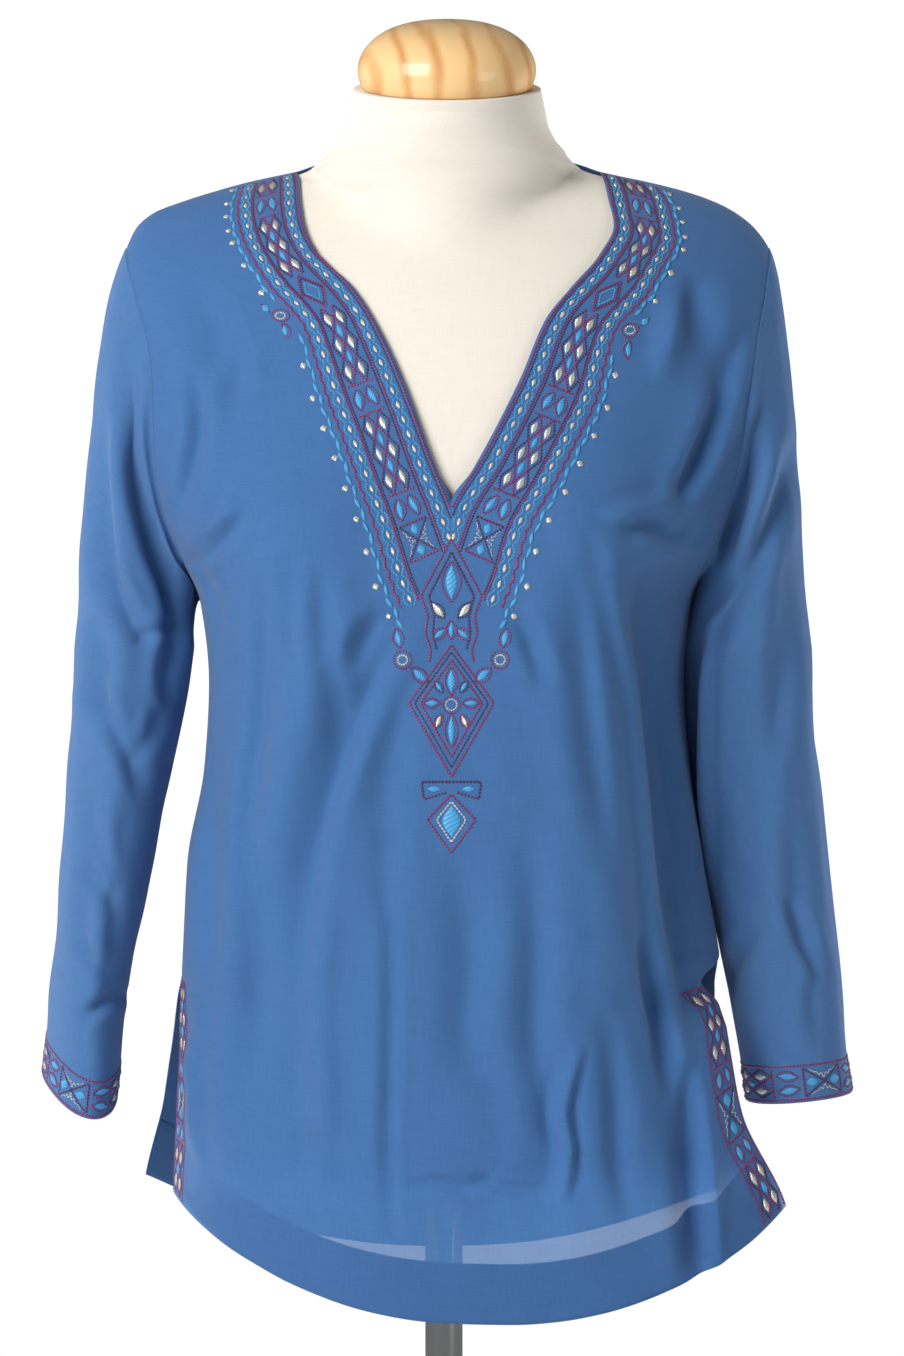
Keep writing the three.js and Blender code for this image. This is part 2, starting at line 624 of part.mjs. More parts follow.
function sleeveRings(side) {
  const name = side < 0 ? "left" : "right";
  const table = sleeves[name];
  const seam = armholeRing(side);
  const turns = sharedTurns(seam);
  const rings = [];
  for (let k = 0; k < head.rings; k += 1) {
    const t = k / head.rings;
    rings.push(seam.map((start, i) => {
      const top = (1 - Math.cos(turns[i])) / 2;
      const away = new THREE.Vector3(side, 0, -head.dropTop * top ** 2).normalize();
      const from = start.clone().add(new THREE.Vector3(side * SLEEVE_SPACE, 0, 0));
      const to = sectionPoint(table[0], turns[i], side);
      const leave = THREE.MathUtils.lerp(head.leaveUnder, headTop[name].leave, top);
      const reach = THREE.MathUtils.lerp(head.reachUnder, headTop[name].reach, top);
      const pull = from.clone().addScaledVector(away, leave);
      const lean = headTop[name].lean * reach * top;
      const ease = to.clone().add(new THREE.Vector3(-side * lean, 0, reach));
      return new THREE.CubicBezierCurve3(from, pull, ease, to).getPoint(t);
    }));
  }
  for (const section of table) {
    rings.push(turns.map((turn) => sectionPoint(section, turn, side)));
  }
  return rings;
}

// A sheet round closed rings, with the outward direction from its neighbours.
function tubeSheet(rings, side) {
  const around = rings[0].length;
  const sheet = { points: rings.flat(), normals: [], faces: [], cells: [] };
  rings.forEach((ring, r) => {
    ring.forEach((_, i) => {
      const across = ring[(i + 1) % around].clone().sub(ring[(i + around - 1) % around]);
      const above = rings[Math.max(r - 1, 0)][i];
      const below = rings[Math.min(r + 1, rings.length - 1)][i];
      const normal = across.cross(above.clone().sub(below)).normalize();
      sheet.normals.push(side < 0 ? normal.negate() : normal);
    });
  });
  for (let r = 0; r < rings.length - 1; r += 1) {
    for (let i = 0; i < around; i += 1) {
      const next = (i + 1) % around;
      const face = [r * around + i, r * around + next, (r + 1) * around + next, (r + 1) * around + i];
      sheet.faces.push(side < 0 ? face : face.reverse());
      sheet.cells.push({ row: r });
    }
  }
  return sheet;
}

// ---------------------------------------------------------------- the dress form

// How far an oval of the neck reaches in the direction of x and y.
function neckReach(z, x, y) {
  const long = Math.hypot(x, y);
  const deep = neckOvalAt[y < 0 ? "front" : "back"](z);
  return 1 / Math.hypot(x / long / neckOvalAt.wide(z), y / long / deep);
}

// One ring of the form. Its points are shared out evenly as seen from its middle.
function formRing(row, around) {
  return Array.from({ length: around }, (_, i) => {
    const spin = (2 * Math.PI * i) / around;
    const [across, ahead] = [Math.cos(spin), Math.sin(spin)];
    const wide = across > 0 ? row.left : row.right;
    const deep = ahead > 0 ? row.front + row.side : row.back - row.side;
    const size = Math.abs(across / wide) ** row.square + Math.abs(ahead / deep) ** row.square;
    const long = size ** (-1 / row.square);
    const [x, y] = [-across * long, row.side - ahead * long];
    const reach = Math.hypot(x, y);
    const neckPart = row.z < neckOval[0].z ? 0 : neckReach(row.z, x, y);
    const grown = (reach ** blend + neckPart ** blend) ** (1 / blend) / reach;
    const bulge = bustStand(x, row.z) * Math.max(ahead, 0);
    return new THREE.Vector3(x * grown, y * grown - bulge, row.z);
  });
}

function formRings(around = 48) {
  const rings = form.map((row) => formRing(row, around));
  const tilt = THREE.MathUtils.degToRad(neck.lean);
  const base = rings[rings.length - 1];
  for (let k = 1; k <= neck.rings; k += 1) {
    const t = k / neck.rings;
    rings.push(base.map((p) => {
      const turn = Math.atan2(-p.y, -p.x);
      const x = -neck.radius * Math.cos(turn);
      const y = -neck.radius * Math.sin(turn);
      const top = new THREE.Vector3(
        neck.topX + x, neck.topY + y * Math.cos(tilt), neck.topZ + y * Math.sin(tilt));
      return p.clone().lerp(top, t);
    }));
  }
  return rings;
}

// A closed body from rings, with a flat cap at each end.
function solidFromRings(rings) {
  const around = rings[0].length;
  const position = rings.flat().flatMap((p) => [p.x, p.y, p.z]);
  const index = [];
  for (let r = 0; r < rings.length - 1; r += 1) {
    for (let i = 0; i < around; i += 1) {
      const next = (i + 1) % around;
      const [a, b, c, d] = [r * around + i, r * around + next, (r + 1) * around + next, (r + 1) * around + i];
      index.push(a, b, c, a, c, d);
    }
  }
  for (const [r, flip] of [[0, true], [rings.length - 1, false]]) {
    const middle = rings[r].reduce((sum, p) => sum.add(p), new THREE.Vector3()).divideScalar(around);
    const hub = position.length / 3;
    position.push(middle.x, middle.y, middle.z);
    for (let i = 0; i < around; i += 1) {
      const [a, b] = [r * around + i, r * around + ((i + 1) % around)];
      index.push(hub, flip ? b : a, flip ? a : b);
    }
  }
  const geometry = new THREE.BufferGeometry();
  geometry.setAttribute("position", new THREE.Float32BufferAttribute(position, 3));
  geometry.setIndex(index);
  geometry.computeVertexNormals();
  return geometry;
}

// ---------------------------------------------------------------- the group

const blouse = new THREE.Group();

function add(name, geometry, look) {
  const mesh = new THREE.Mesh(geometry, new THREE.MeshStandardMaterial(colours[look]));
  mesh.name = name;
  blouse.add(mesh);
  return mesh;
}

// A turned piece: its profile is read as radius and height, and it stands along +Z.
function turned(name, profile, look, segments = 40) {
  const points = profile.map(([radius, height]) => new THREE.Vector2(radius, height));
  const mesh = add(name, new THREE.LatheGeometry(points, segments), look);
  mesh.rotation.x = Math.PI / 2;
  return mesh;
}

const front = frontSheet();
const back = backSheet();
add("front", thicken(front, CLOTH), "cloth");
add("back", thicken(back, CLOTH), "cloth");

const lift = BORDER_SPACE + BORDER;
const borderRows = lowShares.length - 1;
const isNeckBorder = ({ row, neck }) => neck && row >= rowOf(985);
add("neck_border", thicken(lifted(front, lift, isNeckBorder), BORDER), "border");

for (const [piece, sheet] of [["front", front], ["back", back]]) {
  for (const side of ["left", "right"]) {
    const isSlitBorder = (cell) => cell.border && cell.side === side && cell.row < borderRows - 1;
    add(`slit_border_${piece}_${side}`, thicken(lifted(sheet, lift, isSlitBorder), BORDER), "border");
  }
}

for (const [name, side] of [["left", -1], ["right", 1]]) {
  const rings = sleeveRings(side);
  const sheet = tubeSheet(rings, side);
  add(`sleeve_${name}`, thicken(sheet, CLOTH), "cloth");
  const isCuff = ({ row }) => row === rings.length - 2;
  add(`cuff_border_${name}`, thicken(lifted(sheet, lift, isCuff), BORDER), "border");
}

add("form_torso", solidFromRings(formRings()), "jersey");

const capProfile = [[0, 0], [cap.foot, 0]];
const capSteps = 9;
for (let k = 0; k <= capSteps; k += 1) {
  const turn = (Math.PI / 2) * (k / capSteps);
  const height = cap.belly + (cap.height - cap.belly) * Math.sin(turn);
  capProfile.push([cap.radius * Math.cos(turn) ** 0.8, height]);
}
capProfile[capProfile.length - 1][0] = 0;
const capMesh = turned("neck_cap", capProfile, "wood");
const lean = THREE.MathUtils.degToRad(neck.lean);
capMesh.rotation.x = Math.PI / 2 + lean;
capMesh.position.set(
  neck.topX, neck.topY - SEAM * Math.sin(lean), neck.topZ + SEAM * Math.cos(lean));

const torsoFoot = form[0].z;
const flangeFoot = torsoFoot - SEAM - pole.flangeHeight;
const hubTop = foot.hubHeight;
turned("pole_flange", [
  [0, flangeFoot], [pole.flange - 2, flangeFoot], [pole.flange, flangeFoot + 2],
  [pole.flange, torsoFoot - SEAM], [0, torsoFoot - SEAM],
], "steel");
turned("pole", [
  [0, hubTop + SEAM], [pole.radius, hubTop + SEAM],
  [pole.radius, flangeFoot - SEAM], [0, flangeFoot - SEAM],
], "steel", 32);
turned("foot", [
  [0, 0], [foot.radius - 2, 0], [foot.radius, 2], [foot.radius, foot.edge],
  [foot.radius * 0.6, foot.rise - 3], [foot.hub + 10, foot.rise],
  [foot.hub, foot.rise + 6], [foot.hub, hubTop - 3], [foot.hub - 3, hubTop], [0, hubTop],
], "steel", 56);

export default blouse;
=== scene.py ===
# %% [markdown]
# # An embroidered tunic blouse on a dress form
#
# This lesson dresses a limbless dress form in a thin cotton blouse with embroidered
# borders. The measured model of the part is loaded first. It fixes every size, and the
# pieces made here lie on it: cloth as thin shells with soft folds, stitches as real
# thread, a jersey-covered torso, a wooden cap and a chromed stand.

# %% Load the measured model
import math

import bmesh
import bpy
import numpy as np
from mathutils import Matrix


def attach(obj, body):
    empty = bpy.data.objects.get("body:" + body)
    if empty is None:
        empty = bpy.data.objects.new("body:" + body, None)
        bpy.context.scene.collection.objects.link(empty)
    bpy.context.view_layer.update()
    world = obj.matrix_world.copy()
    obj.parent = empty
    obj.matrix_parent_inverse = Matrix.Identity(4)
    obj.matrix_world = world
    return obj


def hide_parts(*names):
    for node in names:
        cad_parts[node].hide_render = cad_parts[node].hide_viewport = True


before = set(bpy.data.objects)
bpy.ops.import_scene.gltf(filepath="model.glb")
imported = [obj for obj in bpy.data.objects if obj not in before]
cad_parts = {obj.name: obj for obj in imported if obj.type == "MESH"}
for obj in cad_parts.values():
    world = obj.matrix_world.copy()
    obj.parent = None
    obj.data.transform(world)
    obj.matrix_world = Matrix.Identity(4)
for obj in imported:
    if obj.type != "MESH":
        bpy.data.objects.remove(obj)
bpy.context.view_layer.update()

# %% [markdown]
# ## Camera, floor and light
#
# A product picture of clothes is taken from far away with a long lens, level with the
# chest, so that the outline keeps its proportions. The backdrop is so bright that it
# comes out white. Nothing here belongs to the object.

# %% Camera
camera_data = bpy.data.cameras.new("camera")
camera_data.lens = 91.14
camera_data.sensor_width = 36
CHEST_HEIGHT = 1.108
camera = bpy.data.objects.new("camera", camera_data)
camera.location = (0.0054, -2.3, CHEST_HEIGHT)
camera.rotation_euler = (math.radians(90), 0, 0)
bpy.context.scene.collection.objects.link(camera)
bpy.context.scene.camera = camera
print("camera at", tuple(round(v, 3) for v in camera.location))


# %% Small helpers for node trees
def add_node(tree, kind, **settings):
    """A new node with its properties and, where they are named, its input values."""
    node = tree.nodes.new(kind)
    for name, value in settings.items():
        if hasattr(node, name):
            setattr(node, name, value)
        else:
            node.inputs[name.replace("_", " ")].default_value = value
    return node


def join(tree, source, output, target, socket):
    """A wire from one node's output to another node's input."""
    tree.links.new(source.outputs[output], target.inputs[socket])


def feed(tree, value, target, socket):
    """Sets an input to a number, or wires it to a (node, output) pair."""
    if isinstance(value, tuple):
        join(tree, *value, target, socket)
    else:
        target.inputs[socket].default_value = value


def math_node(tree, operation, *values):
    """A Math node with its inputs fed in order. Returns its (node, output) pair."""
    node = add_node(tree, "ShaderNodeMath", operation=operation)
    for index, value in enumerate(values):
        feed(tree, value, node, index)
    return node, 0


def mix_shaders(tree, share, first, second):
    """A Mix Shader of two nodes' first outputs."""
    mix = add_node(tree, "ShaderNodeMixShader")
    feed(tree, share, mix, 0)
    join(tree, first, 0, mix, 1)
    join(tree, second, 0, mix, 2)
    return mix


def colour_ramp(tree, value, stops):
    """A Color Ramp with (position, colour) stops. Returns its (node, output) pair."""
    ramp = add_node(tree, "ShaderNodeValToRGB")
    elements = ramp.color_ramp.elements
    while len(elements) < len(stops):
        elements.new(0.5)
    for element, (position, colour) in zip(elements, stops):
        element.position = position
        element.color = (*colour, 1)
    feed(tree, value, ramp, "Fac")
    return ramp, "Color"


def empty_material(name):
    """A material with only its shader and output."""
    material = bpy.data.materials.new(name)
    material.use_nodes = True
    tree = material.node_tree
    tree.nodes.clear()
    out = tree.nodes.new("ShaderNodeOutputMaterial")
    shader = tree.nodes.new("ShaderNodeBsdfPrincipled")
    join(tree, shader, "BSDF", out, "Surface")
    return material, tree, shader, out


# %% Floor
floor_material, tree, shader, out = empty_material("studio_floor")
shader.inputs["Base Color"].default_value = (0.86, 0.86, 0.86, 1)
shader.inputs["Roughness"].default_value = 0.6
floor_mesh = bpy.data.meshes.new("floor")
reach = 2.9
floor_mesh.from_pydata(
    [(-reach, -reach, 0), (reach, -reach, 0), (reach, reach, 0), (-reach, reach, 0)],
    [], [(0, 1, 2, 3)])
floor_mesh.materials.append(floor_material)
floor = bpy.data.objects.new("floor", floor_mesh)
bpy.context.scene.collection.objects.link(floor)

# %% [markdown]
# The light is a large soft box high on the left, a weaker one on the right, and two
# behind that brighten the thin edges of the cloth. The camera sees a white backdrop,
# while the same backdrop lights the object less, which keeps the folds readable.


# %% Lights
def soft_box(name, place, aim, size, power):
    """A square area light that looks at a point."""
    data = bpy.data.lights.new(name, "AREA")
    data.shape = "SQUARE"
    data.size = size
    data.energy = power
    light = bpy.data.objects.new(name, data)
    light.location = place
    toward = np.array(aim) - np.array(place)
    yaw = math.atan2(toward[1], toward[0]) - math.pi / 2
    pitch = math.atan2(toward[2], math.hypot(toward[0], toward[1]))
    light.rotation_euler = (pitch + math.pi / 2, 0, yaw)
    bpy.context.scene.collection.objects.link(light)
    return light


soft_box("key", (-1.6, -1.95, 2.1), (0, 0, 1.05), 1.6, 88)
soft_box("fill", (2.3, -1.8, 1.2), (0, 0, 1.05), 1.3, 13)
# The back lights brighten the edges of the cloth. Their mirror images in the varnish
# would only distract.
for name, across, power in (("back_left", -1.8, 36), ("back_right", 1.8, 50)):
    soft_box(name, (across, 1.3, 1.3), (0, 0, 1.1), 1.2, power).visible_glossy = False
world = bpy.data.worlds.new("studio")
world.use_nodes = True
sky = world.node_tree
sky.nodes.clear()
seen = add_node(sky, "ShaderNodeLightPath")
white = add_node(sky, "ShaderNodeBackground", Strength=1.05)
ambient = add_node(sky, "ShaderNodeBackground", Strength=0.16)
sky_out = add_node(sky, "ShaderNodeOutputWorld")
white.inputs["Color"].default_value = ambient.inputs["Color"].default_value = (1, 1, 1, 1)
choose = mix_shaders(sky, (seen, "Is Camera Ray"), ambient, white)
join(sky, choose, "Shader", sky_out, "Surface")
bpy.context.scene.world = world
bpy.context.scene.view_settings.view_transform = "Standard"

# %% [markdown]
# ## The sizes of the blouse
#
# The cloth follows rings round the body, given in millimetres from the floor up: how far
# a ring reaches to each side, to the front and to the back, how square it is, and how
# far back its sides lie. Tables like these are easy to read and to change, and a smooth
# curve through each column gives every height between the rows.

# %% Tables and smooth columns
MM = 0.001
FRONT = -1
BACK = 1


def rows(names, text):
    """A table of numbers: one array for each named column."""
    lines = [[float(v) for v in line.split()] for line in text.strip().splitlines()]
    return dict(zip(names.split(), np.array(lines).T))


def curve(table, name):
    """A smooth curve through one column against z, without overshoot."""
    z, v = table["z"], table[name]
    slope = np.diff(v) / np.diff(z)
    before, after = slope[:-1], slope[1:]
    turns = before * after <= 0
    middle = np.where(turns, 0, 2 * before * after / np.where(turns, 1, before + after))
    tangent = np.concatenate([slope[:1], middle, slope[-1:]])

    def at(height):
        h = np.clip(height, z[0], z[-1])
        i = np.clip(np.searchsorted(z, h, side="right") - 1, 0, len(z) - 2)
        step = z[i + 1] - z[i]
        t = (h - z[i]) / step
        t2, t3 = t * t, t * t * t
        start = (2 * t3 - 3 * t2 + 1) * v[i] + (t3 - 2 * t2 + t) * step * tangent[i]
        return start + (3 * t2 - 2 * t3) * v[i + 1] + (t3 - t2) * step * tangent[i + 1]

    return at


def curves(table):
    """A smooth curve for every column of a table but its heights."""
    return {name: curve(table, name) for name in table if name != "z"}


# %% Rings round the body
body = curves(rows("z left right front back square side", """
    690 182 200 132 113 2.25 0
    800 179 194 131 110 2.25 0
    880 176 190 129 107 2.25 0
    927 174 184 127 105 2.25 0
    985 171 174 124 102 2.25 0
    1050 160 165 120 99 2.25 0
    1105 157 161 118 97 2.3 0
    1160 163 166 119 99 2.35 0
    1190 178 181 118 102 2.4 0
    1240 200 203 109 106 2.35 1
    1290 212 217 98 108 2.25 2
    1340 218 224 85 107 2.15 4
    1380 219 225 68 102 2.05 6
    1397 213 218 57 98 2.0 7
    1410 207 209 47 94 1.95 8
    1420 196 197 39 91 1.9 8
    1428 176 182 31 88 1.9 8
    1435 154 162 23 85 1.9 8
    1441 132 138 16 82 1.9 7
    1445 114 119 10 80 1.9 7
    1448 99 105 4 78 1.9 6
    1455 91 97 4 72 1.95 6
    1463 83.5 89 4 66 2.0 6"""))

# %% Slits, armholes, neckline and hems
SLIT_TOP = 927
UNDERARM = 1160
SHOULDER_TIP = 1397
V_POINT = 1220
V_MIDDLE = 5
PENDANT_FOOT = 1010
NECK_CORNER = 1448
NECK_TOP = 1463

slit_edges = {
    (FRONT, "left"): curves(rows("z x y cut", """
        690 182 -16 0.34
        764 180.5 -13 0.34
        823 179 -9 0.3
        880 176.5 -4 0.22
        927 174 0 0.1""")),
    (FRONT, "right"): curves(rows("z x y cut", """
        690 240 -74 0.68
        764 227 -68 0.66
        823 204 -58 0.6
        880 192 -42 0.5
        905 187 -24 0.42
        927 184 0 0.3""")),
    (BACK, "left"): curves(rows("z x y cut", """
        690 213 30 0.41
        764 203.5 24 0.41
        823 193.5 15 0.34
        880 182.5 5 0.22
        927 174 0 0.1""")),
    (BACK, "right"): curves(rows("z x y cut", """
        690 190 26 0.37
        764 186 20 0.37
        823 182 12 0.32
        880 182 4 0.22
        927 184 0 0.1""")),
}
SLIT_EASE = 34
armholes = curves(rows("z front_left front_right back_left back_right", """
    1160 163 166 163 166
    1185 172.5 175.5 173.5 176.5
    1205 180 183.5 182.5 186
    1220 185 189 188 192
    1258 190 196 196 201
    1298 191 201 201 207
    1325 194 205 205 211
    1355 202 212 210 217
    1383 210 216 211 217
    1397 213 218 213 218"""))
neckline = curves(rows("z left right", """
    690 5 5
    1220 5 5
    1240 -4 18
    1300 -26 49
    1340 -45 66
    1362 -59 83
    1385 -82 102
    1407 -92 112
    1426 -95 109
    1440 -96 107
    1448 -99 105"""))
back_neck = curve(rows("z start", """
    1448 0
    1452 0.17
    1457 0.36
    1463 0.62"""), "start")
hems = {
    FRONT: {"low": 699, "left": 72, "right": 117, "low_at": 0.12, "curve": 1.8},
    BACK: {"low": 709, "left": 73, "right": 60, "low_at": 0, "curve": 2},
}
bust = {"x": 97, "z": 1190, "stand": 15, "wide": 52, "above": 62, "below": 190}
print("blouse: slits from", SLIT_TOP, "down, V point at", V_POINT, "mm")

# %% [markdown]
# ## Folds
#
# Light cotton that hangs from the shoulders and the bust makes long soft troughs, a few
# short creases, and almost no sharp lines. A cloth simulation would put them anywhere,
# so each one is drawn as a path across the front or the back, with its own
# width and depth. A depth above zero is a trough, and below zero it is a ridge. `lean`
# makes one flank steeper than the other, as where cloth falls over an edge, and `flank`
# is how high the cloth swells beside the crease.


# %% Creases drawn as paths
def creases(text):
    """Creases from lines of width, depth, lean and flank, then x and z along the path."""
    table = []
    for line in text.strip().splitlines():
        shape, path = line.split("|")
        crease = dict(zip(("wide", "depth", "lean", "flank"), map(float, shape.split())))
        crease["path"] = np.array([float(v) for v in path.split()]).reshape(-1, 2)
        table.append(crease)
    return table


def smooth_path(path, steps=8):
    """Points on a curve that passes through each point of the path."""
    p = np.vstack([2 * path[0] - path[1], path, 2 * path[-1] - path[-2]])
    t = np.linspace(0, 1, steps, endpoint=False)[:, None]
    pieces = []
    for a, b, c, d in zip(p[:-3], p[1:-2], p[2:-1], p[3:]):
        cubic = 2 * b + (c - a) * t + (2 * a - 5 * b + 4 * c - d) * t**2
        pieces.append((cubic + (3 * b - a - 3 * c + d) * t**3) / 2)
    return np.vstack(pieces + [path[-1:]])


# How deep every crease is for each millimetre in its table.
RELIEF = 2.0


def crease_depth(x, z, table):
    """How far the creases move the cloth outwards at each x and z."""
    out = np.zeros_like(x)
    for item in table:
        path = smooth_path(item["path"])
        margin = 4.5 * item["wide"]
        low, high = path.min(0) - margin, path.max(0) + margin
        near = (x > low[0]) & (x < high[0]) & (z > low[1]) & (z < high[1])
        if not near.any():
            continue
        px, pz = x[near], z[near]
        best = np.full(px.shape, 1e9)
        side = np.zeros(px.shape)
        along = np.zeros(px.shape)
        for k, (a, b) in enumerate(zip(path[:-1], path[1:])):
            step = b - a
            t = ((px - a[0]) * step[0] + (pz - a[1]) * step[1]) / max(step @ step, 1e-9)
            t = np.clip(t, 0, 1)
            dx, dz = px - a[0] - t * step[0], pz - a[1] - t * step[1]
            far = np.hypot(dx, dz)
            closer = far < best
            best = np.where(closer, far, best)
            side = np.where(closer, np.sign(dx * step[1] - dz * step[0]), side)
            along = np.where(closer, (k + t) / (len(path) - 1), along)
        width = item["wide"] * (1 + item["lean"] * side)
        strength = np.sin(math.pi * np.clip(along, 0.0, 1.0)) ** 0.8
        shape = np.exp(-((best / width) ** 2))
        flank = np.exp(-(((best - 1.9 * width) / width) ** 2))
        out[near] += item["depth"] * strength * (item["flank"] * flank - shape)
    return out * RELIEF


def unevenness(x, z, size, length, seed):
    """Slow, irregular waves, so that no stretch of cloth is perfectly even."""
    chance = np.random.default_rng(seed)
    total = np.zeros_like(x)
    for _ in range(9):
        angle = chance.uniform(0, math.pi)
        wave = length * chance.uniform(0.7, 1.6)
        phase = chance.uniform(0, 2 * math.pi)
        across = x * math.cos(angle) + 0.45 * z * math.sin(angle)
        total += np.sin(2 * math.pi * across / wave + phase)
    return size * total / 3

# %% [markdown]
# The largest falls of the cloth belong to its measured shape: under the bust, and down
# both halves of the back. The finer creases follow in tables of their own. The front
# has one deep fall at the right, where the cloth turns away from the bust, pulled
# wrinkles at the armholes, and a few short creases above the hem. The back, which
# hangs more loosely, has similar ones of its own.

# %% The folds of the body
# Face, x and z at the upper end, x and z at the lower end, width and depth.
main_folds = [
    (FRONT, -34, 1110, -88, 940, 17, 5),
    (FRONT, 122, 1180, 152, 730, 19, 11),
    (FRONT, 96, 1120, 118, 760, 24, -5),
    (FRONT, -118, 1090, -132, 780, 26, 4),
    (FRONT, 30, 1020, 50, 740, 26, 4),
    (BACK, -70, 1230, -92, 760, 24, 7),
    (BACK, 62, 1250, 84, 770, 26, 8),
    (BACK, -4, 1160, 6, 760, 30, -5),
]
body_creases = {
    FRONT: creases("""
        12 5.5 0.3 0.45 | -26 1152 -44 1112 -62 1070 -78 1022 -88 970 -90 920
        10 2.6 0 0.35 | -20 1112 -30 1060 -36 1010 -38 950
        4.5 1.9 0.2 0.35 | -37 985 -32 934 -33 870 -34 806 -30 744
        10 2.2 0 0.35 | 18 960 20 925 16 890 18 850
        9 1.6 -0.2 0.35 | -64 960 -68 900 -64 840 -70 770
        20 4 0.3 0.5 | -96 1010 -100 930 -98 850 -92 770
        8 2.6 -0.3 0.35 | -112 1180 -115 1140 -117 1094 -124 1030 -126 970
        6 2 0 0.35 | -96 1188 -98 1150 -96 1104
        7 2.2 0 0.35 | -80 1184 -76 1140 -70 1095 -72 1050
        8 -4.5 -0.2 0.3 | 103 1204 113 1150 124 1094 133 998 144 902 155 800
        16 8.5 0.2 0.2 | 128 1180 138 1130 148 1062 155 966 160 880
        25 12 0 0 | 156 1190 165 1130 172 1062 178 966 180 880
        9 2.6 0.2 0.35 | 84 1180 90 1120 98 1050 106 980
        6 4.2 -0.2 0.35 | 126 944 131 915 140 876 146 836
        8 7 0.3 0.35 | 157 862 160 806 163 755 166 720
        4 -3 0.3 0.6 | 88 876 77 838 80 806 76 775
        4 1.8 0 0.35 | -34 784 0 790 14 786 37 797
        4 1.5 0 0.35 | 19 792 44 785 68 782
        12 2.6 0 0.35 | 158 1376 166 1348 172 1316 168 1290
        7 2.6 0.2 0.35 | 202 1352 190 1318 180 1284 166 1250 152 1226
        6 3.6 0 0.35 | 186 1300 172 1262 160 1238 148 1222
        8 -2.4 0 0.35 | 138 1300 148 1340 154 1374
        6 3.4 0 0.35 | 166 1210 150 1200 128 1206 112 1200
        6 -2 0 0.35 | 150 1236 140 1220 120 1214 100 1212
        5 -2.2 0 0.35 | -172 1198 -156 1204 -140 1214 -130 1226
        4.5 2.2 0 0.35 | -170 1184 -154 1188 -138 1200 -126 1216
        4 1.8 0 0.35 | -172 1190 -160 1180 -150 1160 -146 1130
        6 3.2 0.2 0.35 | -176 1212 -166 1240 -160 1276 -164 1310
        12 2.4 0 0.35 | -158 1364 -146 1322 -140 1285
        7 1.6 0 0.35 | -128 1330 -134 1300 -142 1274
        5 -2.6 0 0.35 | -158 900 -159 876 -165 855 -163 832 -164 812 -156 785
        8 3 0 0.35 | -150 1080 -152 1010 -149 940 -150 880
        10 2.6 0 0.35 | -116 1000 -121 950 -122 890 -129 830
        12 1.8 0 0.35 | 8 1000 12 960 6 900 10 850
        10 2.4 0 0.35 | 52 1030 60 960 60 880 66 820 62 770
        8 2.6 0 0.35 | 104 900 110 850 112 800 120 756
        8 1.6 0 0.35 | -2 1090 12 1062 24 1030
        6 2.4 0 0.35 | -38 1150 -52 1132 -62 1106
        6 2.2 0 0.35 | 44 1150 56 1130 66 1100
        7 1.2 0 0.35 | -100 800 -84 812 -60 804"""),
    BACK: creases("""
        13 2.6 0 0.35 | -150 1392 -120 1350 -108 1300 -104 1250
        8 3 0.2 0.35 | -176 1340 -150 1300 -138 1255
        7 2.6 0 0.35 | -192 1300 -168 1262 -152 1225
        12 2.4 0 0.35 | 154 1390 126 1345 112 1296 108 1240
        8 3.2 -0.2 0.35 | 182 1342 158 1300 142 1250
        7 2.4 0 0.35 | 198 1296 174 1256 156 1222
        9 1.8 0 0.35 | -40 1420 -20 1404 20 1402 44 1418
        12 3 0.2 0.35 | -120 1180 -112 1120 -104 1050 -108 980
        11 3.2 -0.2 0.35 | 118 1190 108 1126 102 1060 106 990
        14 2.4 0 0.35 | -40 1120 -46 1040 -42 960 -50 880
        13 2.6 0 0.35 | 34 1110 40 1030 36 950 44 870
        8 2.4 0 0.35 | -146 1100 -138 1060 -142 1000 -136 930
        8 2.2 0 0.35 | 148 1096 140 1050 144 990 138 920
        9 2.4 0 0.35 | -130 930 -122 880 -128 820 -120 770
        9 2.6 0 0.35 | 126 940 120 880 126 810 118 760
        8 1.6 0 0.35 | -84 900 -78 850 -84 800
        9 1.6 0 0.35 | 0 900 -8 850 -2 790
        8 1.8 0 0.35 | 70 880 78 830 72 780
        5 1.2 0 0.35 | -60 800 -30 806 -6 800
        6 2.2 0 0.35 | -166 1206 -140 1196 -118 1204
        6 2.2 0 0.35 | 168 1208 144 1196 120 1202"""),
}


# %% The surface of the body
def bust_stand(x, z, below):
    """How far the two halves of the bust push the cloth or the form forwards."""
    up = (z - bust["z"]) / np.where(z > bust["z"], bust["above"], below)
    bump = sum(
        np.exp(-(((x - middle) / bust["wide"]) ** 2) - up * up)
        for middle in (-bust["x"], bust["x"]))
    return bust["stand"] * bump


def main_relief(x, z, face):
    """How far the measured folds and the bust move the cloth outwards."""
    out = np.zeros_like(x)
    for of_face, x1, z1, x2, z2, wide, depth in main_folds:
        if of_face == face:
            along = (z1 - z) / (z1 - z2)
            strength = np.sin(math.pi * np.clip(along, 0, 1)) ** 0.7
            out -= depth * strength * np.exp(-(((x - x1 - (x2 - x1) * along) / wide) ** 2))
    return out + bust_stand(x, z, bust["below"]) if face == FRONT else out


def blouse_ring(z, face):
    """The ring of the blouse at each height. Below the slits its two halves part."""
    middle = face * (body["front"](z) if face == FRONT else body["back"](z))
    square, side_y = body["square"](z), body["side"](z)
    ring = {"square": square, "middle_y": middle}
    for side in ("left", "right"):
        edge = slit_edges[face, side]
        ease = np.clip((SLIT_TOP - z) / SLIT_EASE, 0, 1)
        share = edge["cut"](z) * ease * ease * (3 - 2 * ease)
        opened = (1 - share**square) ** (1 / square)
        low = z < SLIT_TOP
        ring[side] = np.where(low, edge["x"](z) / opened, body[side](z))
        ring[side + "_y"] = np.where(low, (edge["y"](z) - middle * share) / (1 - share), side_y)
    return ring


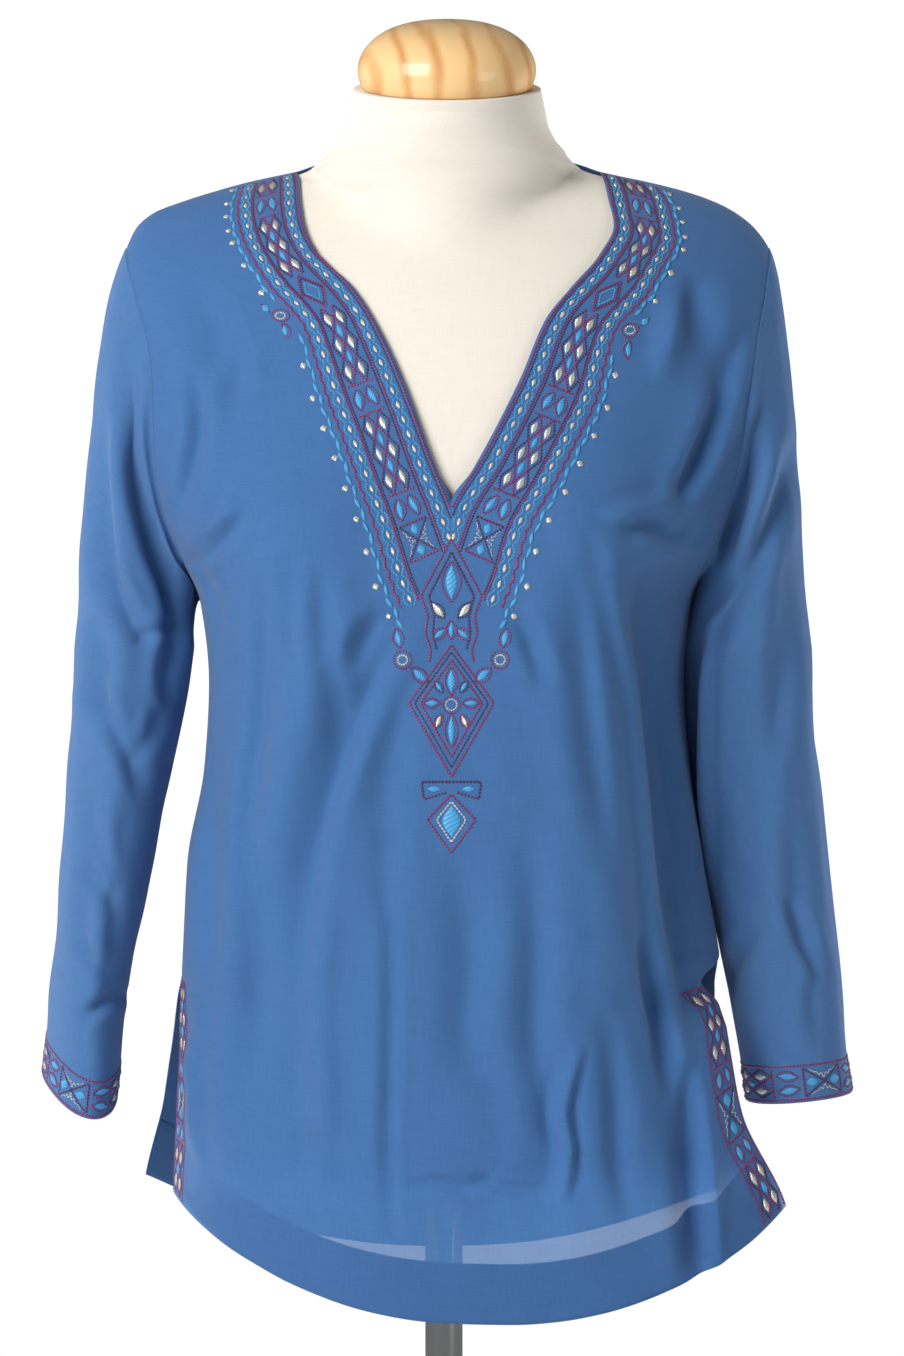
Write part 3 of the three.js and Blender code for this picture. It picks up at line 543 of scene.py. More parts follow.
def ring_point(ring, turn):
    """x and y at a turn: 0 at the left side, a quarter turn in the middle."""
    power = 2 / ring["square"]
    across = np.cos(turn)
    left = across > 0
    reach = np.where(left, ring["left"], ring["right"])
    side_y = np.where(left, ring["left_y"], ring["right_y"])
    x = -np.sign(across) * reach * np.abs(across) ** power
    y = side_y + (ring["middle_y"] - side_y) * np.maximum(np.sin(turn), 0) ** power
    return x, y


def turn_at(ring, x):
    """The turn at which a ring is as far out as x."""
    reach = np.where(x < 0, ring["left"], ring["right"])
    across = np.minimum(np.abs(x) / reach, 1) ** (ring["square"] / 2)
    return np.where(x < 0, np.arccos(across), math.pi - np.arccos(across))


def band_distance(x, z):
    """0 on the stiff embroidered band along the neckline, 1 well outside it."""
    edge = np.where(x < V_MIDDLE, neckline["left"](z), neckline["right"](z))
    off = np.abs(x - edge) - np.where(z < V_POINT, 10, 45)
    off = np.where(z < PENDANT_FOOT, 40, off)
    return np.clip(off / 40, 0, 1)


def blouse_points(turn, z, face):
    """Points of the blouse's outer side, with the measured folds and the fine creases."""
    turn, z = np.broadcast_arrays(np.asarray(turn, float), np.asarray(z, float))
    x, y = ring_point(blouse_ring(z, face), turn)
    flat = np.maximum(np.sin(turn), 0)
    y = y + face * main_relief(x, z, face) * flat
    # The folds fade out towards the shoulder seams, the side seams and the stiff band.
    loose = np.clip((NECK_CORNER - z) / 60, 0, 1) * np.clip(flat * 3.2, 0, 1)
    if face == FRONT:
        loose = loose * (0.2 + 0.8 * band_distance(x, z))
    slow = unevenness(x, z, 0.8, 90, 3 + face) + unevenness(x, z, 0.24, 26, 8 + face)
    detail = (crease_depth(x, z, body_creases[face]) + slow) * loose
    x = x - np.cos(turn) * detail * 0.6
    y = y + face * detail * (0.4 + 0.6 * flat)
    return np.stack([x, y, z], axis=-1)


def grid_normals(points):
    """The direction of each point of a grid of points, from its neighbours."""
    across = np.gradient(points, axis=1)
    along = np.gradient(points, axis=0)
    normal = np.cross(across, along)
    return normal / np.maximum(np.linalg.norm(normal, axis=-1, keepdims=True), 1e-9)


def travel(line):
    """The length along a line of points, up to each of them."""
    return np.concatenate([[0], np.cumsum(np.linalg.norm(np.diff(line, axis=0), axis=1))])


def points_at(distances, reach, line):
    """Points or directions along a line, at given lengths."""
    return np.stack([np.interp(distances, reach, line[:, k]) for k in range(3)], axis=-1)


# %% [markdown]
# ## Making cloth
#
# A panel is a grid of points with a face between each four. Its texture coordinates
# are real lengths along and across the cloth, so that the weave keeps its size. A
# Solidify modifier then gives the sheet its thickness on the inside.


# %% Sheets from grids
CLOTH = 0.6
WELD_REACH = 0.00002


def sheet_object(name, grids, thickness=CLOTH, closed=False):
    """One object from grids of points in millimetres, as (points, flip) pairs."""
    vertices, faces, uvs = [], [], []
    for points, flip in grids:
        count, wide = points.shape[:2]
        base = sum(len(v) for v in vertices)
        vertices.append(points.reshape(-1, 3))
        index = base + np.arange(count * wide).reshape(count, wide)
        a, b = index[:-1, :-1], index[:-1, 1:]
        c, d = index[1:, 1:], index[1:, :-1]
        corners = [a, d, c, b] if flip else [a, b, c, d]
        faces.append(np.stack(corners, axis=-1).reshape(-1, 4))
        steps = np.linalg.norm(np.diff(points, axis=1), axis=-1)
        u = np.cumsum(np.pad(steps, ((0, 0), (1, 0))), axis=1)
        u = u - u[:, -1:] if not closed else u
        rise = np.linalg.norm(np.diff(points, axis=0), axis=-1).mean(axis=1)
        v = np.cumsum(np.pad(rise, (1, 0)))[:, None] + 0 * u
        uvs.append(np.stack([u, v], axis=-1).reshape(-1, 2) * MM)
    vertices, faces, uvs = np.vstack(vertices) * MM, np.vstack(faces), np.vstack(uvs)
    mesh = bpy.data.meshes.new(name)
    mesh.from_pydata(vertices.tolist(), [], faces.tolist())
    layer = mesh.uv_layers.new(name="UVMap")
    layer.data.foreach_set("uv", uvs[faces.ravel()].ravel().astype(np.float32))
    mesh.shade_smooth()
    obj = bpy.data.objects.new(name, mesh)
    bpy.context.scene.collection.objects.link(obj)
    weld(obj)
    if thickness:
        wall = obj.modifiers.new("wall", "SOLIDIFY")
        wall.thickness = thickness * MM
        wall.offset = -1
        wall.use_even_offset = False
    print(name, "has", len(mesh.polygons), "faces")
    return obj


def weld(obj):
    """Points in the same place become one."""
    work = bmesh.new()
    work.from_mesh(obj.data)
    bmesh.ops.remove_doubles(work, verts=work.verts, dist=WELD_REACH)
    work.to_mesh(obj.data)
    work.free()


# %% [markdown]
# ## The front and the back
#
# The front is cut in one piece and parts above the point of the V. The side seams end
# in slits, where its edges hang free. The back has a plain shallow neckline. Both hems
# dip in a gentle curve.


# %% Panel grids
def hem_height(hem, share):
    """The hem's height at a share of the way across: -1 at the left, 1 at the right."""
    right = share > hem["low_at"]
    toward = np.where(right, 1, -1)
    rise = np.where(right, hem["right"], hem["left"])
    off = np.abs((share - hem["low_at"]) / (toward - hem["low_at"]))
    return hem["low"] + rise * off ** hem["curve"]


def panel_edge(z, face, side):
    """Where a panel's side edge is at each height, to the left or to the right."""
    name = "left" if side < 0 else "right"
    hole = armholes[("front_" if face == FRONT else "back_") + name](z)
    edge = np.where((z > UNDERARM) & (z < SHOULDER_TIP), hole, body[name](z))
    return side * np.where(z < SLIT_TOP, slit_edges[face, name]["x"](z), edge)


def panel_edges(face):
    """The left and the right edge of a whole panel, each as a function of height."""
    return (lambda z: panel_edge(z, face, -1)), (lambda z: panel_edge(z, face, 1))


low_rows, high_rows = 76, 178
row_share = np.linspace(0, 1, low_rows, endpoint=False)
row_height = np.linspace(SLIT_TOP, NECK_CORNER, high_rows)


def low_turns(face, first, last, share):
    """The turns at which rows under the slits' tops start and end."""
    low = hems[face]["low"]
    z = low + (SLIT_TOP - low) * share
    ring = blouse_ring(z, face)
    return turn_at(ring, first(z)), turn_at(ring, last(z))


def low_height(face, turn, share):
    """The height of such a row at each turn: it bends with the hem."""
    bottom = hem_height(hems[face], -np.cos(turn))
    return bottom + (SLIT_TOP - bottom) * share


def panel_grid(face, first, last, count):
    """A grid from one edge function to the other, from the hem up to the shoulder."""
    across = np.linspace(0, 1, count)[None, :]
    share = row_share[:, None]
    start, end = low_turns(face, first, last, share)
    low_turn = start + (end - start) * across
    neck_rows = [] if face == FRONT else np.linspace(NECK_CORNER + 1, NECK_TOP, 12)
    top = np.append(row_height, neck_rows)[:, None]
    ring = blouse_ring(top, face)
    inwards = back_neck(top) if face == BACK else 0
    start, end = turn_at(ring, first(top)) + inwards, turn_at(ring, last(top)) - inwards
    turn = np.vstack([low_turn, start + (end - start) * across])
    z = np.vstack([low_height(face, low_turn, share), top + 0 * across])
    return blouse_points(turn, z, face)


left_edge, right_edge = panel_edges(FRONT)
front_left = panel_grid(FRONT, left_edge, neckline["left"], 76)
front_right = panel_grid(FRONT, right_edge, neckline["right"], 76)
back_grid = panel_grid(BACK, *panel_edges(BACK), 150)
front = sheet_object("blouse_front", [(front_left, False), (front_right, True)])
back = sheet_object("blouse_back", [(back_grid, True)])

# %% [markdown]
# ## The sleeves
#
# Each sleeve leaves the armhole over the shoulder, turns down, and hangs as a long
# flattened tube. Sections down its length give its place, width and depth. Between the
# armhole and the first section every thread of the cloth follows its own curve.

# %% Sleeve sections
sleeve_tables = {
    -1: curves(rows("z x y wide deep turn slope_x slope_y", """
        836 -243.5 -5 22.5 44.5 13 -0.32 0.32
        862 -241 -4 22.5 44.5 13 -0.32 0.32
        892 -239 -3 24 45 11 -0.26 0.24
        929 -234 -2 25.5 46 9 -0.2 0.16
        970 -228 -1 29.5 48 8 -0.15 0.1
        1011 -222 0 32 49 6 -0.1 0.05
        1050 -217 1 35 50 4 -0.05 0.02
        1091 -210.5 2 37.5 51 2 0 0
        1128 -207 2 39 53 0 0 0""")),
    1: curves(rows("z x y wide deep turn slope_x slope_y", """
        827 239.5 14 36 40 0 0.1 0
        853 236 14 35 40 0 0.08 0
        892 231 16 37 41 0 0.05 0
        929 226 18 39 42 -3 0.03 0
        970 220 20 41.6 43 -6 0.02 0
        1011 214.8 21 43.1 43 -8 0 0
        1050 210.8 20 43.8 44 -8 0 0
        1091 207.2 17 43.4 47 -5 0 0
        1128 206.5 9 40.6 53 0 0 0""")),
}
sleeve_bottom = {-1: 836, 1: 827}
SLEEVE_TOP = 1128
# How far a sleeve that leans on the body is pressed out of round towards it.
press = {-1: 0, 1: 7}
PRESS_HEIGHT, PRESS_REACH = 1092, 80
# The cloth over the shoulder: how far it goes on outwards, how far up it comes from, and
# how much it leans in.
head_top = {-1: (56, 130, 0.09), 1: (20, 165, 0.1)}
SEAM_GAP = 0.5
SEAM_TUCK = 2.2
HEAD_ROWS, HANG_ROWS = 74, 104
sleeve_creases = {
    (-1, FRONT): creases("""
        5.5 5.5 0.2 0.35 | -199 1312 -204 1276 -201 1243 -192 1204 -182 1172 -176 1150
        4.5 4 0 0.35 | -189 1310 -191 1270 -186 1230 -176 1196 -172 1180
        6.5 3.8 0.2 0.35 | -221 1282 -224 1230 -219 1180 -206 1150 -190 1126
        5 3.6 0 0.35 | -186 1190 -180 1168 -178 1140 -182 1110 -180 1085
        5 1.8 0 0.35 | -207 1084 -200 1066 -197 1052
        5 1.8 0 0.35 | -185 1088 -191 1072 -194 1056
        6 3 0 0.35 | -236 1108 -222 1084 -206 1056 -198 1030
        7 2.2 0 0.35 | -228 1150 -226 1110 -232 1070
        6 2.4 0 0.35 | -240 990 -226 972 -214 958
        5 1.6 0 0.35 | -229 1010 -223 990 -218 975
        8 1.5 0 0.35 | -236 1060 -232 1000 -238 940 -240 900
        7 1.7 0 0.35 | -208 1030 -214 980 -216 930 -222 880
        7 1.6 0 0.35 | -196 1340 -206 1310 -212 1280
        4 1.4 0 0.35 | -176 1150 -190 1138 -204 1134
        4.5 2.4 0 0.35 | -240 884 -226 892 -212 902
        5 1.8 0 0.35 | -240 940 -232 925 -218 915"""),
    (1, FRONT): creases("""
        3.5 -3.2 0.3 0.5 | 200 1176 190 1158 180 1142 177 1120 177 1060 178 1000 180 940
        7 3.5 0 0.35 | 190 1150 170 1120 166 1070 168 1000 172 950
        7 5.5 -0.2 0.35 | 212 1294 200 1252 188 1212 184 1186
        7 3.2 0 0.35 | 232 1270 222 1226 206 1186 192 1160
        5 2.8 0 0.35 | 228 964 240 934 250 906
        5 2.4 0 0.35 | 206 944 196 920 192 896
        7 1.8 0 0.35 | 206 1330 212 1290 214 1250
        9 2 0 0.35 | 232 1180 226 1130 222 1080 214 1040
        9 2 0 0.35 | 196 1090 204 1040 200 980 208 920
        8 1.7 0 0.35 | 232 1020 236 960 232 900
        6 1.6 0 0.35 | 190 1060 186 1010 194 960
        6 1.3 0 0.35 | 252 930 246 896 250 860
        5 1 0 0.35 | 212 880 222 868 236 862"""),
    (-1, BACK): creases("""
        8 3 0 0.35 | -224 1300 -214 1240 -206 1180
        7 2.6 0 0.35 | -196 1260 -190 1200 -198 1140
        5 2.4 0 0.35 | -190 1120 -206 1108 -224 1112
        5 2 0 0.35 | -188 1096 -204 1086 -222 1092
        8 2 0 0.35 | -226 1070 -232 1000 -230 930
        7 1.8 0 0.35 | -206 1050 -214 970 -220 900"""),
    (1, BACK): creases("""
        8 3 0 0.35 | 222 1300 214 1240 206 1180
        7 2.6 0 0.35 | 198 1250 194 1200 202 1140
        5 2.4 0 0.35 | 186 1124 204 1110 224 1116
        5 2 0 0.35 | 186 1100 204 1088 226 1094
        9 2 0 0.35 | 226 1070 234 1000 232 930
        8 1.8 0 0.35 | 200 1050 208 970 214 900"""),
}


# %% Sleeve surfaces
def section_points(table, turn, z, side):
    """Points of a sleeve's sections. Turn 0 is nearest the body, a quarter in front."""
    spin = np.radians(table["turn"](z))
    u = -side * table["wide"](z) * np.cos(turn)
    v = -table["deep"](z) * np.sin(turn)
    x = u * np.cos(spin) - v * np.sin(spin)
    y = u * np.sin(spin) + v * np.cos(spin)
    up = table["slope_x"](z) * x + table["slope_y"](z) * y
    return np.stack([table["x"](z) + x, table["y"](z) + y, z + up], axis=-1)


def armhole_line(side, count):
    """The armhole as a closed line from under the arm, with even steps."""
    def edge_points(z, face):
        turn = turn_at(blouse_ring(z, face), panel_edge(z, face, side))
        return blouse_points(turn, z, face)

    z = UNDERARM + (SHOULDER_TIP - UNDERARM) * np.sin(np.linspace(0, math.pi / 2, 240))
    z[0] += 0.01
    z[-1] -= 0.01
    up, down = edge_points(z, FRONT), edge_points(z[::-1], BACK)
    line = np.vstack([up, down, up[:1]])
    reach = travel(line)
    return points_at(np.linspace(0, reach[-1], count, endpoint=False), reach, line)


def sleeve_head(side, around):
    """Rings over the shoulder, from a tuck inside the armhole to the hanging sleeve."""
    turn = np.linspace(0, 2 * math.pi, around, endpoint=False)
    top = (1 - np.cos(turn)) / 2
    away = np.stack([side + 0 * top, 0 * top, -2.1 * top**2], axis=-1)
    away /= np.linalg.norm(away, axis=-1, keepdims=True)
    leave, reach, lean = head_top[side]
    # Under the arm both edges of the armhole meet. The sleeve's two sides keep a little
    # apart there, so that they don't become one.
    apart = -0.35 * np.sign(np.sin(turn))
    start = armhole_line(side, around) + np.stack(
        [side * SEAM_GAP + 0 * turn, apart, 0 * turn], -1)
    end = section_points(sleeve_tables[side], turn, np.full(around, float(SLEEVE_TOP)), side)
    pull = start + away * (4 + (leave - 4) * top)[:, None]
    rise = 12 + (reach - 12) * top
    ease = end + np.stack([-side * lean * rise * top, 0 * top, rise], axis=-1)
    t = np.linspace(0, 1, HEAD_ROWS, endpoint=False)[:, None, None]
    head = start * (1 - t) ** 3 + 3 * pull * t * (1 - t) ** 2
    head = head + 3 * ease * t**2 * (1 - t) + end * t**3
    tuck = start - np.array([side * SEAM_TUCK, 0, 0])
    inward = np.array([5.0 * side, 10, 1270]) - tuck
    tuck = tuck + 1.3 * inward / np.linalg.norm(inward, axis=-1, keepdims=True)
    return tuck, head


def sleeve_relief(side, closed, turn):
    """How far creases, unevenness and the press of the body move each point out."""
    across, x, z = closed[..., 1], closed[..., 0], closed[..., 2]
    move = 0
    for face, part in ((FRONT, np.sin(turn)), (BACK, -np.sin(turn))):
        share = np.clip(np.maximum(part, 0) * 3, 0, 1)
        move = move + crease_depth(x, z, sleeve_creases[side, face]) * share
    slow = unevenness(across * 2, z, 1.1, 110, 20 + side)
    slow = slow + unevenness(across + x, z, 0.3, 30, 30 + side)
    slow = slow + unevenness(0 * x, z, 1.0, 120, 40 + side)
    pressed = np.exp(-(((z - PRESS_HEIGHT) / PRESS_REACH) ** 4))
    move = move + press[side] * np.maximum(np.cos(turn), 0) ** 2 * pressed
    ease = np.minimum(np.linspace(0, 12, len(closed)), 1)[:, None]
    return (move + slow) * ease


def sleeve_grid(side, around=96):
    """Rings from inside the armhole down to the cuff's edge."""
    tuck, head = sleeve_head(side, around)
    turn = np.linspace(0, 2 * math.pi, around, endpoint=False)
    z = np.linspace(SLEEVE_TOP, sleeve_bottom[side], HANG_ROWS)[:, None]
    hang = section_points(sleeve_tables[side], turn[None, :], z + 0 * turn[None, :], side)
    grid = np.concatenate([head, hang])
    closed = np.concatenate([grid, grid[:, :1]], axis=1)
    padded = np.concatenate([closed[:, -2:-1], closed, closed[:, 1:2]], axis=1)
    normal = grid_normals(padded)[:, 1:-1] * -side
    relief = sleeve_relief(side, closed, np.append(turn, 2 * math.pi))
    closed = closed + normal * relief[..., None]
    closed[:, -1] = closed[:, 0]
    return np.concatenate([np.concatenate([tuck, tuck[:1]])[None], closed])


sleeves = {}
sleeve_grids = {}
for side, name in ((-1, "left"), (1, "right")):
    sleeve_grids[side] = sleeve_grid(side)
    sleeves[side] = sheet_object(
        f"blouse_sleeve_{name}", [(sleeve_grids[side], side > 0)], closed=True)

# %% [markdown]
# ## Hems
#
# Each hem is turned up deep on the inside and stitched down. The double cloth lets
# less light through than the single cloth above it, so it is made as a real second
# layer behind the panel, joined to it by the fold.


# %% Turned hems
HEM_TURN = 38
HEM_CLOTH = 0.5
# The share of the rows below the slits' tops that a hem takes up.
HEM_SHARE = 0.17


def hem_turn(face, count=120):
    """The layer behind a hem: from the fold up to its stitched edge."""
    grid = []
    for step in np.linspace(0, 1, 15):
        share = np.array(HEM_SHARE * step + 0.001)
        start, end = low_turns(face, *panel_edges(face), share)
        turn = np.linspace(start + 0.02, end - 0.02, count)
        bottom = hem_height(hems[face], -np.cos(turn))
        point = blouse_points(turn, bottom + 0.2 + HEM_TURN * step, face)
        inner = 0.75 + 0.9 * math.sin(math.pi * step) ** 0.5
        grid.append(point - np.array([0, face * inner, 0]))
    return np.array(grid)


hem_front = sheet_object("hem_turn_front", [(hem_turn(FRONT), False)], HEM_CLOTH)
hem_back = sheet_object("hem_turn_back", [(hem_turn(BACK), True)], HEM_CLOTH)

# %% [markdown]
# ## The dress form
#
# The torso is a smooth shell covered in fine-ribbed jersey. Each of its rings joins
# the shoulders' ring to an oval of the neck by their power mean, which rounds the
# place where they meet. The neck leans forward and is cut square to its lean.

# %% Torso rings
form = rows("z left right front back square side", """
    842 112 112 84 78 2.1 4
    848 132 132 98 92 2.15 4
    862 146 146 104 97 2.2 3
    900 151 152 103 95 2.2 2
    960 146 147 100 90 2.2 0
    1040 124 125 92 80 2.15 0
    1100 128 129 98 82 2.2 0
    1150 143 144 107 90 2.3 0
    1190 154 155 109 96 2.35 0
    1240 168 169 103 100 2.35 1
    1290 178 180 94 102 2.3 2
    1340 186 189 81.5 102 2.2 4
    1372 191 194 69 98 2.1 6
    1392 191 194 57 93 2.05 7
    1406 189 191 46 90 2.0 8
    1417 183 185 37.5 87 1.95 8
    1426 169 174 29.5 84 1.9 8
    1433.1 149 156 21.5 81 1.9 8
    1439.1 127 133 14.5 78 1.9 7
    1443.1 110 115 9 75 1.9 7
    1446.3 91 97 12 72 1.9 6
    1449 78 84 28 67 1.95 5
    1453 70 77 42 62 2.0 3
    1459 70.5 77 50 58 2.0 1
    1467 65.5 71 58 56 2.0 -1
    1476 62 66.5 62 54 2.0 -3""")
neck_oval = curves(rows("z wide front back", """
    1372 40 40 40
    1392 54 55 50
    1406 64 58 60
    1425 71 60 65
    1438 82 60 66
    1449 83 62 66
    1459 70 64 62
    1466 64 65 58
    1476 59 66 50"""))
BLEND = 7
NECK_STARTS = 1372
neck = {"top": np.array([2, -9, 1501.0]), "lean": math.radians(17)}
neck_axis = np.array([0, -math.sin(neck["lean"]), math.cos(neck["lean"])])
# The collar's rounded rim: radius from the neck's axis, and height along it.
rim = [(63.0, -0.6), (62.7, 0.2), (61.8, 0.6), (60.0, 0.5), (57.0, 0.2), (30.0, 0.0),
       (0.001, 0.0)]


def form_ring(row, height, spin):
    """One ring of the torso, from a row of the table."""
    across, ahead = np.cos(spin), np.sin(spin)
    wide = np.where(across > 0, row["left"], row["right"])
    deep = np.where(ahead > 0, row["front"] + row["side"], row["back"] - row["side"])
    size = np.abs(across / wide) ** row["square"] + np.abs(ahead / deep) ** row["square"]
    long = size ** (-1 / row["square"])
    x, y = -across * long, row["side"] - ahead * long
    z = np.full_like(x, height)
    bulge = bust_stand(x, z, bust["above"]) * np.maximum(ahead, 0)
    if height > NECK_STARTS:
        reach = np.hypot(x, y)
        oval = np.where(y < 0, neck_oval["front"](height), neck_oval["back"](height))
        oval = 1 / np.hypot(x / reach / neck_oval["wide"](height), y / reach / oval)
        grown = (reach**BLEND + oval**BLEND) ** (1 / BLEND) / reach
        x, y = x * grown, y * grown
    return np.stack([x, y - bulge, z], axis=-1)


def form_grid(around=144):
    """Rings of the torso from its closed underside to the closed top of the neck."""
    table = curves(form)
    heights = np.concatenate([
        np.linspace(842, 862, 12), np.linspace(866, 1400, 110), np.linspace(1403, 1476, 62)])
    spin = np.linspace(0, 2 * math.pi, around + 1)
    grid = []
    for height in heights:
        row = {name: float(table[name](height)) for name in table}
        grid.append(form_ring(row, height, spin))
    base = grid[-1]
    turn = np.arctan2(-base[:, 1], -base[:, 0])
    lean = neck["lean"]
    flat_x, flat_y = -np.cos(turn), -np.sin(turn)
    out_way = np.stack([flat_x, flat_y * math.cos(lean), flat_y * math.sin(lean)], axis=-1)
    collar = [neck["top"] + out_way * radius + neck_axis * height for radius, height in rim]
    for t in np.linspace(0, 1, 17)[1:-1]:
        grid.append(base + (collar[0] - base) * t)
    centre = grid[0].mean(axis=0)
    underside = [centre + (grid[0] - centre) * share for share in (0.00001, 0.5, 0.94, 0.98)]
    points = np.array(underside + grid + collar)
    points[:, -1] = points[:, 0]
    return points


torso = sheet_object("form_jersey", [(form_grid(), False)], 0, closed=True)

# %% [markdown]
# ## Cap, pole and foot
#
# These are turned on a lathe, so each is a profile of radius and height spun round an
# axis. The cap is a flat dome of varnished pine. The pole ends in a flange under the
# torso and stands in a heavy round foot, all of them chromed.


# %% Turned pieces
def turned(name, profile, around=96, lean=0.0, place=(0, 0, 0)):
    """A closed turned piece from rows of radius and height, in millimetres."""
    profile = np.array(profile, float)
    spin = np.linspace(0, 2 * math.pi, around + 1)
    radius, height = profile[:, :1], profile[:, 1:]
    x, y = radius * np.cos(spin), radius * np.sin(spin)
    z = height + 0 * spin
    tilted_y = y * math.cos(lean) - z * math.sin(lean)
    tilted_z = y * math.sin(lean) + z * math.cos(lean)
    points = np.stack([x, tilted_y, tilted_z], axis=-1) + np.array(place)
    points[:, -1] = points[:, 0]
    return sheet_object(name, [(points, False)], 0, closed=True)


def rounded(corners, radius=1.5, steps=4):
    """A profile with its inner corners rounded."""
    corners = np.array(corners, float)
    result = [corners[0]]
    for before, corner, after in zip(corners[:-2], corners[1:-1], corners[2:]):
        back_step, ahead = before - corner, after - corner
        cut = min(radius, np.linalg.norm(back_step) / 2.1, np.linalg.norm(ahead) / 2.1)
        start = corner + back_step / np.linalg.norm(back_step) * cut
        end = corner + ahead / np.linalg.norm(ahead) * cut
        for t in np.linspace(0, 1, steps + 1):
            result.append(start * (1 - t) ** 2 + 2 * corner * t * (1 - t) + end * t**2)
    result.append(corners[-1])
    return result


CAP_RADIUS, CAP_HEIGHT, CAP_FOOT, CAP_BELLY = 59.5, 45, 57, 12
CAP_EDGE = 1.6
cap_profile = [(0.001, 0), (CAP_FOOT - 2, 0), (CAP_FOOT - 0.6, 0.4), (CAP_FOOT, CAP_EDGE)]
for t in np.linspace(0.1, 0.9, 5):
    swell = math.sin(t * math.pi / 2)
    cap_profile.append((
        CAP_FOOT + (CAP_RADIUS - CAP_FOOT) * swell, CAP_EDGE + (CAP_BELLY - CAP_EDGE) * t))
for turn in np.linspace(0, math.pi / 2, 34):
    rise = CAP_BELLY + (CAP_HEIGHT - CAP_BELLY) * math.sin(turn)
    cap_profile.append((max(CAP_RADIUS * math.cos(turn) ** 0.8, 0.001), rise))
cap = turned("form_cap", cap_profile, 96, neck["lean"], neck["top"] + neck_axis * 0.3)

flange_foot, torso_foot = 831.7, 841.7
flange = turned("stand_flange", rounded([
    (0.001, flange_foot), (36, flange_foot), (36, torso_foot), (0.001, torso_foot)]))
pole = turned("stand_pole", rounded([
    (0.001, 46.3), (12.5, 46.3), (12.5, 831.4), (0.001, 831.4)], 0.8))
foot = turned("stand_foot", rounded([
    (0.001, 0), (190, 0), (190, 6), (114, 13), (34, 16), (24, 22), (24, 46), (0.001, 46)],
    2.0), 160)

# %% [markdown]
# ## Woven and knitted finishes
#
# Thin cotton is matt. Up close it shows two sets of threads that cross, some a little
# thicker than the others, and light that falls on its back shines through. The threads
# are a node group, so that the cloth and the jersey can share it with other numbers.


# %% Shared node group: threads
def thread_group():
    """A weave's height and tone from the texture coordinates, in metres."""
    tree = bpy.data.node_groups.new("threads", "ShaderNodeTree")
    for name, value in (("Across", 2200.0), ("Along", 2200.0), ("Unevenness", 0.5)):
        socket = tree.interface.new_socket(name, in_out="INPUT", socket_type="NodeSocketFloat")
        socket.default_value = value
    tree.interface.new_socket("Height", in_out="OUTPUT", socket_type="NodeSocketFloat")
    tree.interface.new_socket("Tone", in_out="OUTPUT", socket_type="NodeSocketFloat")
    given, result = add_node(tree, "NodeGroupInput"), add_node(tree, "NodeGroupOutput")
    place = add_node(tree, "ShaderNodeUVMap", uv_map="UVMap")
    split = add_node(tree, "ShaderNodeSeparateXYZ")
    join(tree, place, "UV", split, "Vector")
    waves = []
    for axis_name, count in (("X", "Across"), ("Y", "Along")):
        turn = math_node(tree, "MULTIPLY", (split, axis_name), (given, count))
        waves.append(math_node(tree, "SINE", turn))
    weave = math_node(tree, "MULTIPLY", *waves)
    slubs = []
    for stretch in ((60, 900, 1), (900, 60, 1)):
        mapping = add_node(tree, "ShaderNodeMapping")
        mapping.inputs["Scale"].default_value = stretch
        join(tree, place, "UV", mapping, "Vector")
        noise = add_node(tree, "ShaderNodeTexNoise", Scale=1.0, Detail=3.0)
        join(tree, mapping, "Vector", noise, "Vector")
        slubs.append((noise, "Fac"))
    both = math_node(tree, "ADD", *slubs)
    uneven = math_node(tree, "MULTIPLY", both, (given, "Unevenness"))
    join(tree, *math_node(tree, "ADD", weave, uneven), result, "Height")
    join(tree, *both, result, "Tone")
    return tree


threads = thread_group()


# %% Blue cotton and cream jersey
# The share of a single layer that is gaps between threads.
OPEN_WEAVE = 0.13
# How much of the light that meets the thin cotton goes through it.
COTTON_GLOW = 0.3


def sheer_shader(tree, solid):
    """Some rays pass between the threads, and the rest meet the solid cloth.

    The far wall of the sheet lets all of them through, so that the two walls count as
    one layer. An attribute says where the cloth is single.
    """
    gaps = add_node(tree, "ShaderNodeBsdfTransparent")
    side = add_node(tree, "ShaderNodeNewGeometry")
    single = add_node(tree, "ShaderNodeAttribute", attribute_name="single")
    open_share = math_node(tree, "MAXIMUM", (side, "Backfacing"), OPEN_WEAVE)
    part_open = math_node(tree, "MULTIPLY", open_share, (single, "Fac"))
    return mix_shaders(tree, part_open, solid, gaps)


def cloth_material(name, colours, counts, bump, glow=0.0, uneven=0.5, sheen=0.2, sheer=False):
    """Matt cloth with its threads as bump and tone, and light that comes through it."""
    material, tree, shader, out = empty_material(name)
    weave = add_node(tree, "ShaderNodeGroup")
    weave.node_tree = threads
    for socket, value in zip(("Across", "Along", "Unevenness"), (*counts, uneven)):
        weave.inputs[socket].default_value = value
    tone = math_node(tree, "MULTIPLY", (weave, "Tone"), 0.5)
    ramp = colour_ramp(tree, tone, list(zip((0.35, 0.65), colours)))
    join(tree, *ramp, shader, "Base Color")
    bumps = add_node(tree, "ShaderNodeBump", Strength=bump, Distance=0.0002)
    join(tree, weave, "Height", bumps, "Height")
    join(tree, bumps, "Normal", shader, "Normal")
    shader.inputs["Roughness"].default_value = 0.86
    shader.inputs["Specular IOR Level"].default_value = 0.25
    shader.inputs["Sheen Weight"].default_value = sheen
    shader.inputs["Sheen Roughness"].default_value = 0.5
    if glow:
        through = add_node(tree, "ShaderNodeBsdfTranslucent")
        through.inputs["Color"].default_value = (*colours[1], 1)
        cloth = mix_shaders(tree, glow, shader, through)
        if sheer:
            cloth = sheer_shader(tree, cloth)
        join(tree, cloth, 0, out, "Surface")
    return material


BLUES = (0.06, 0.178, 0.43), (0.077, 0.212, 0.485)
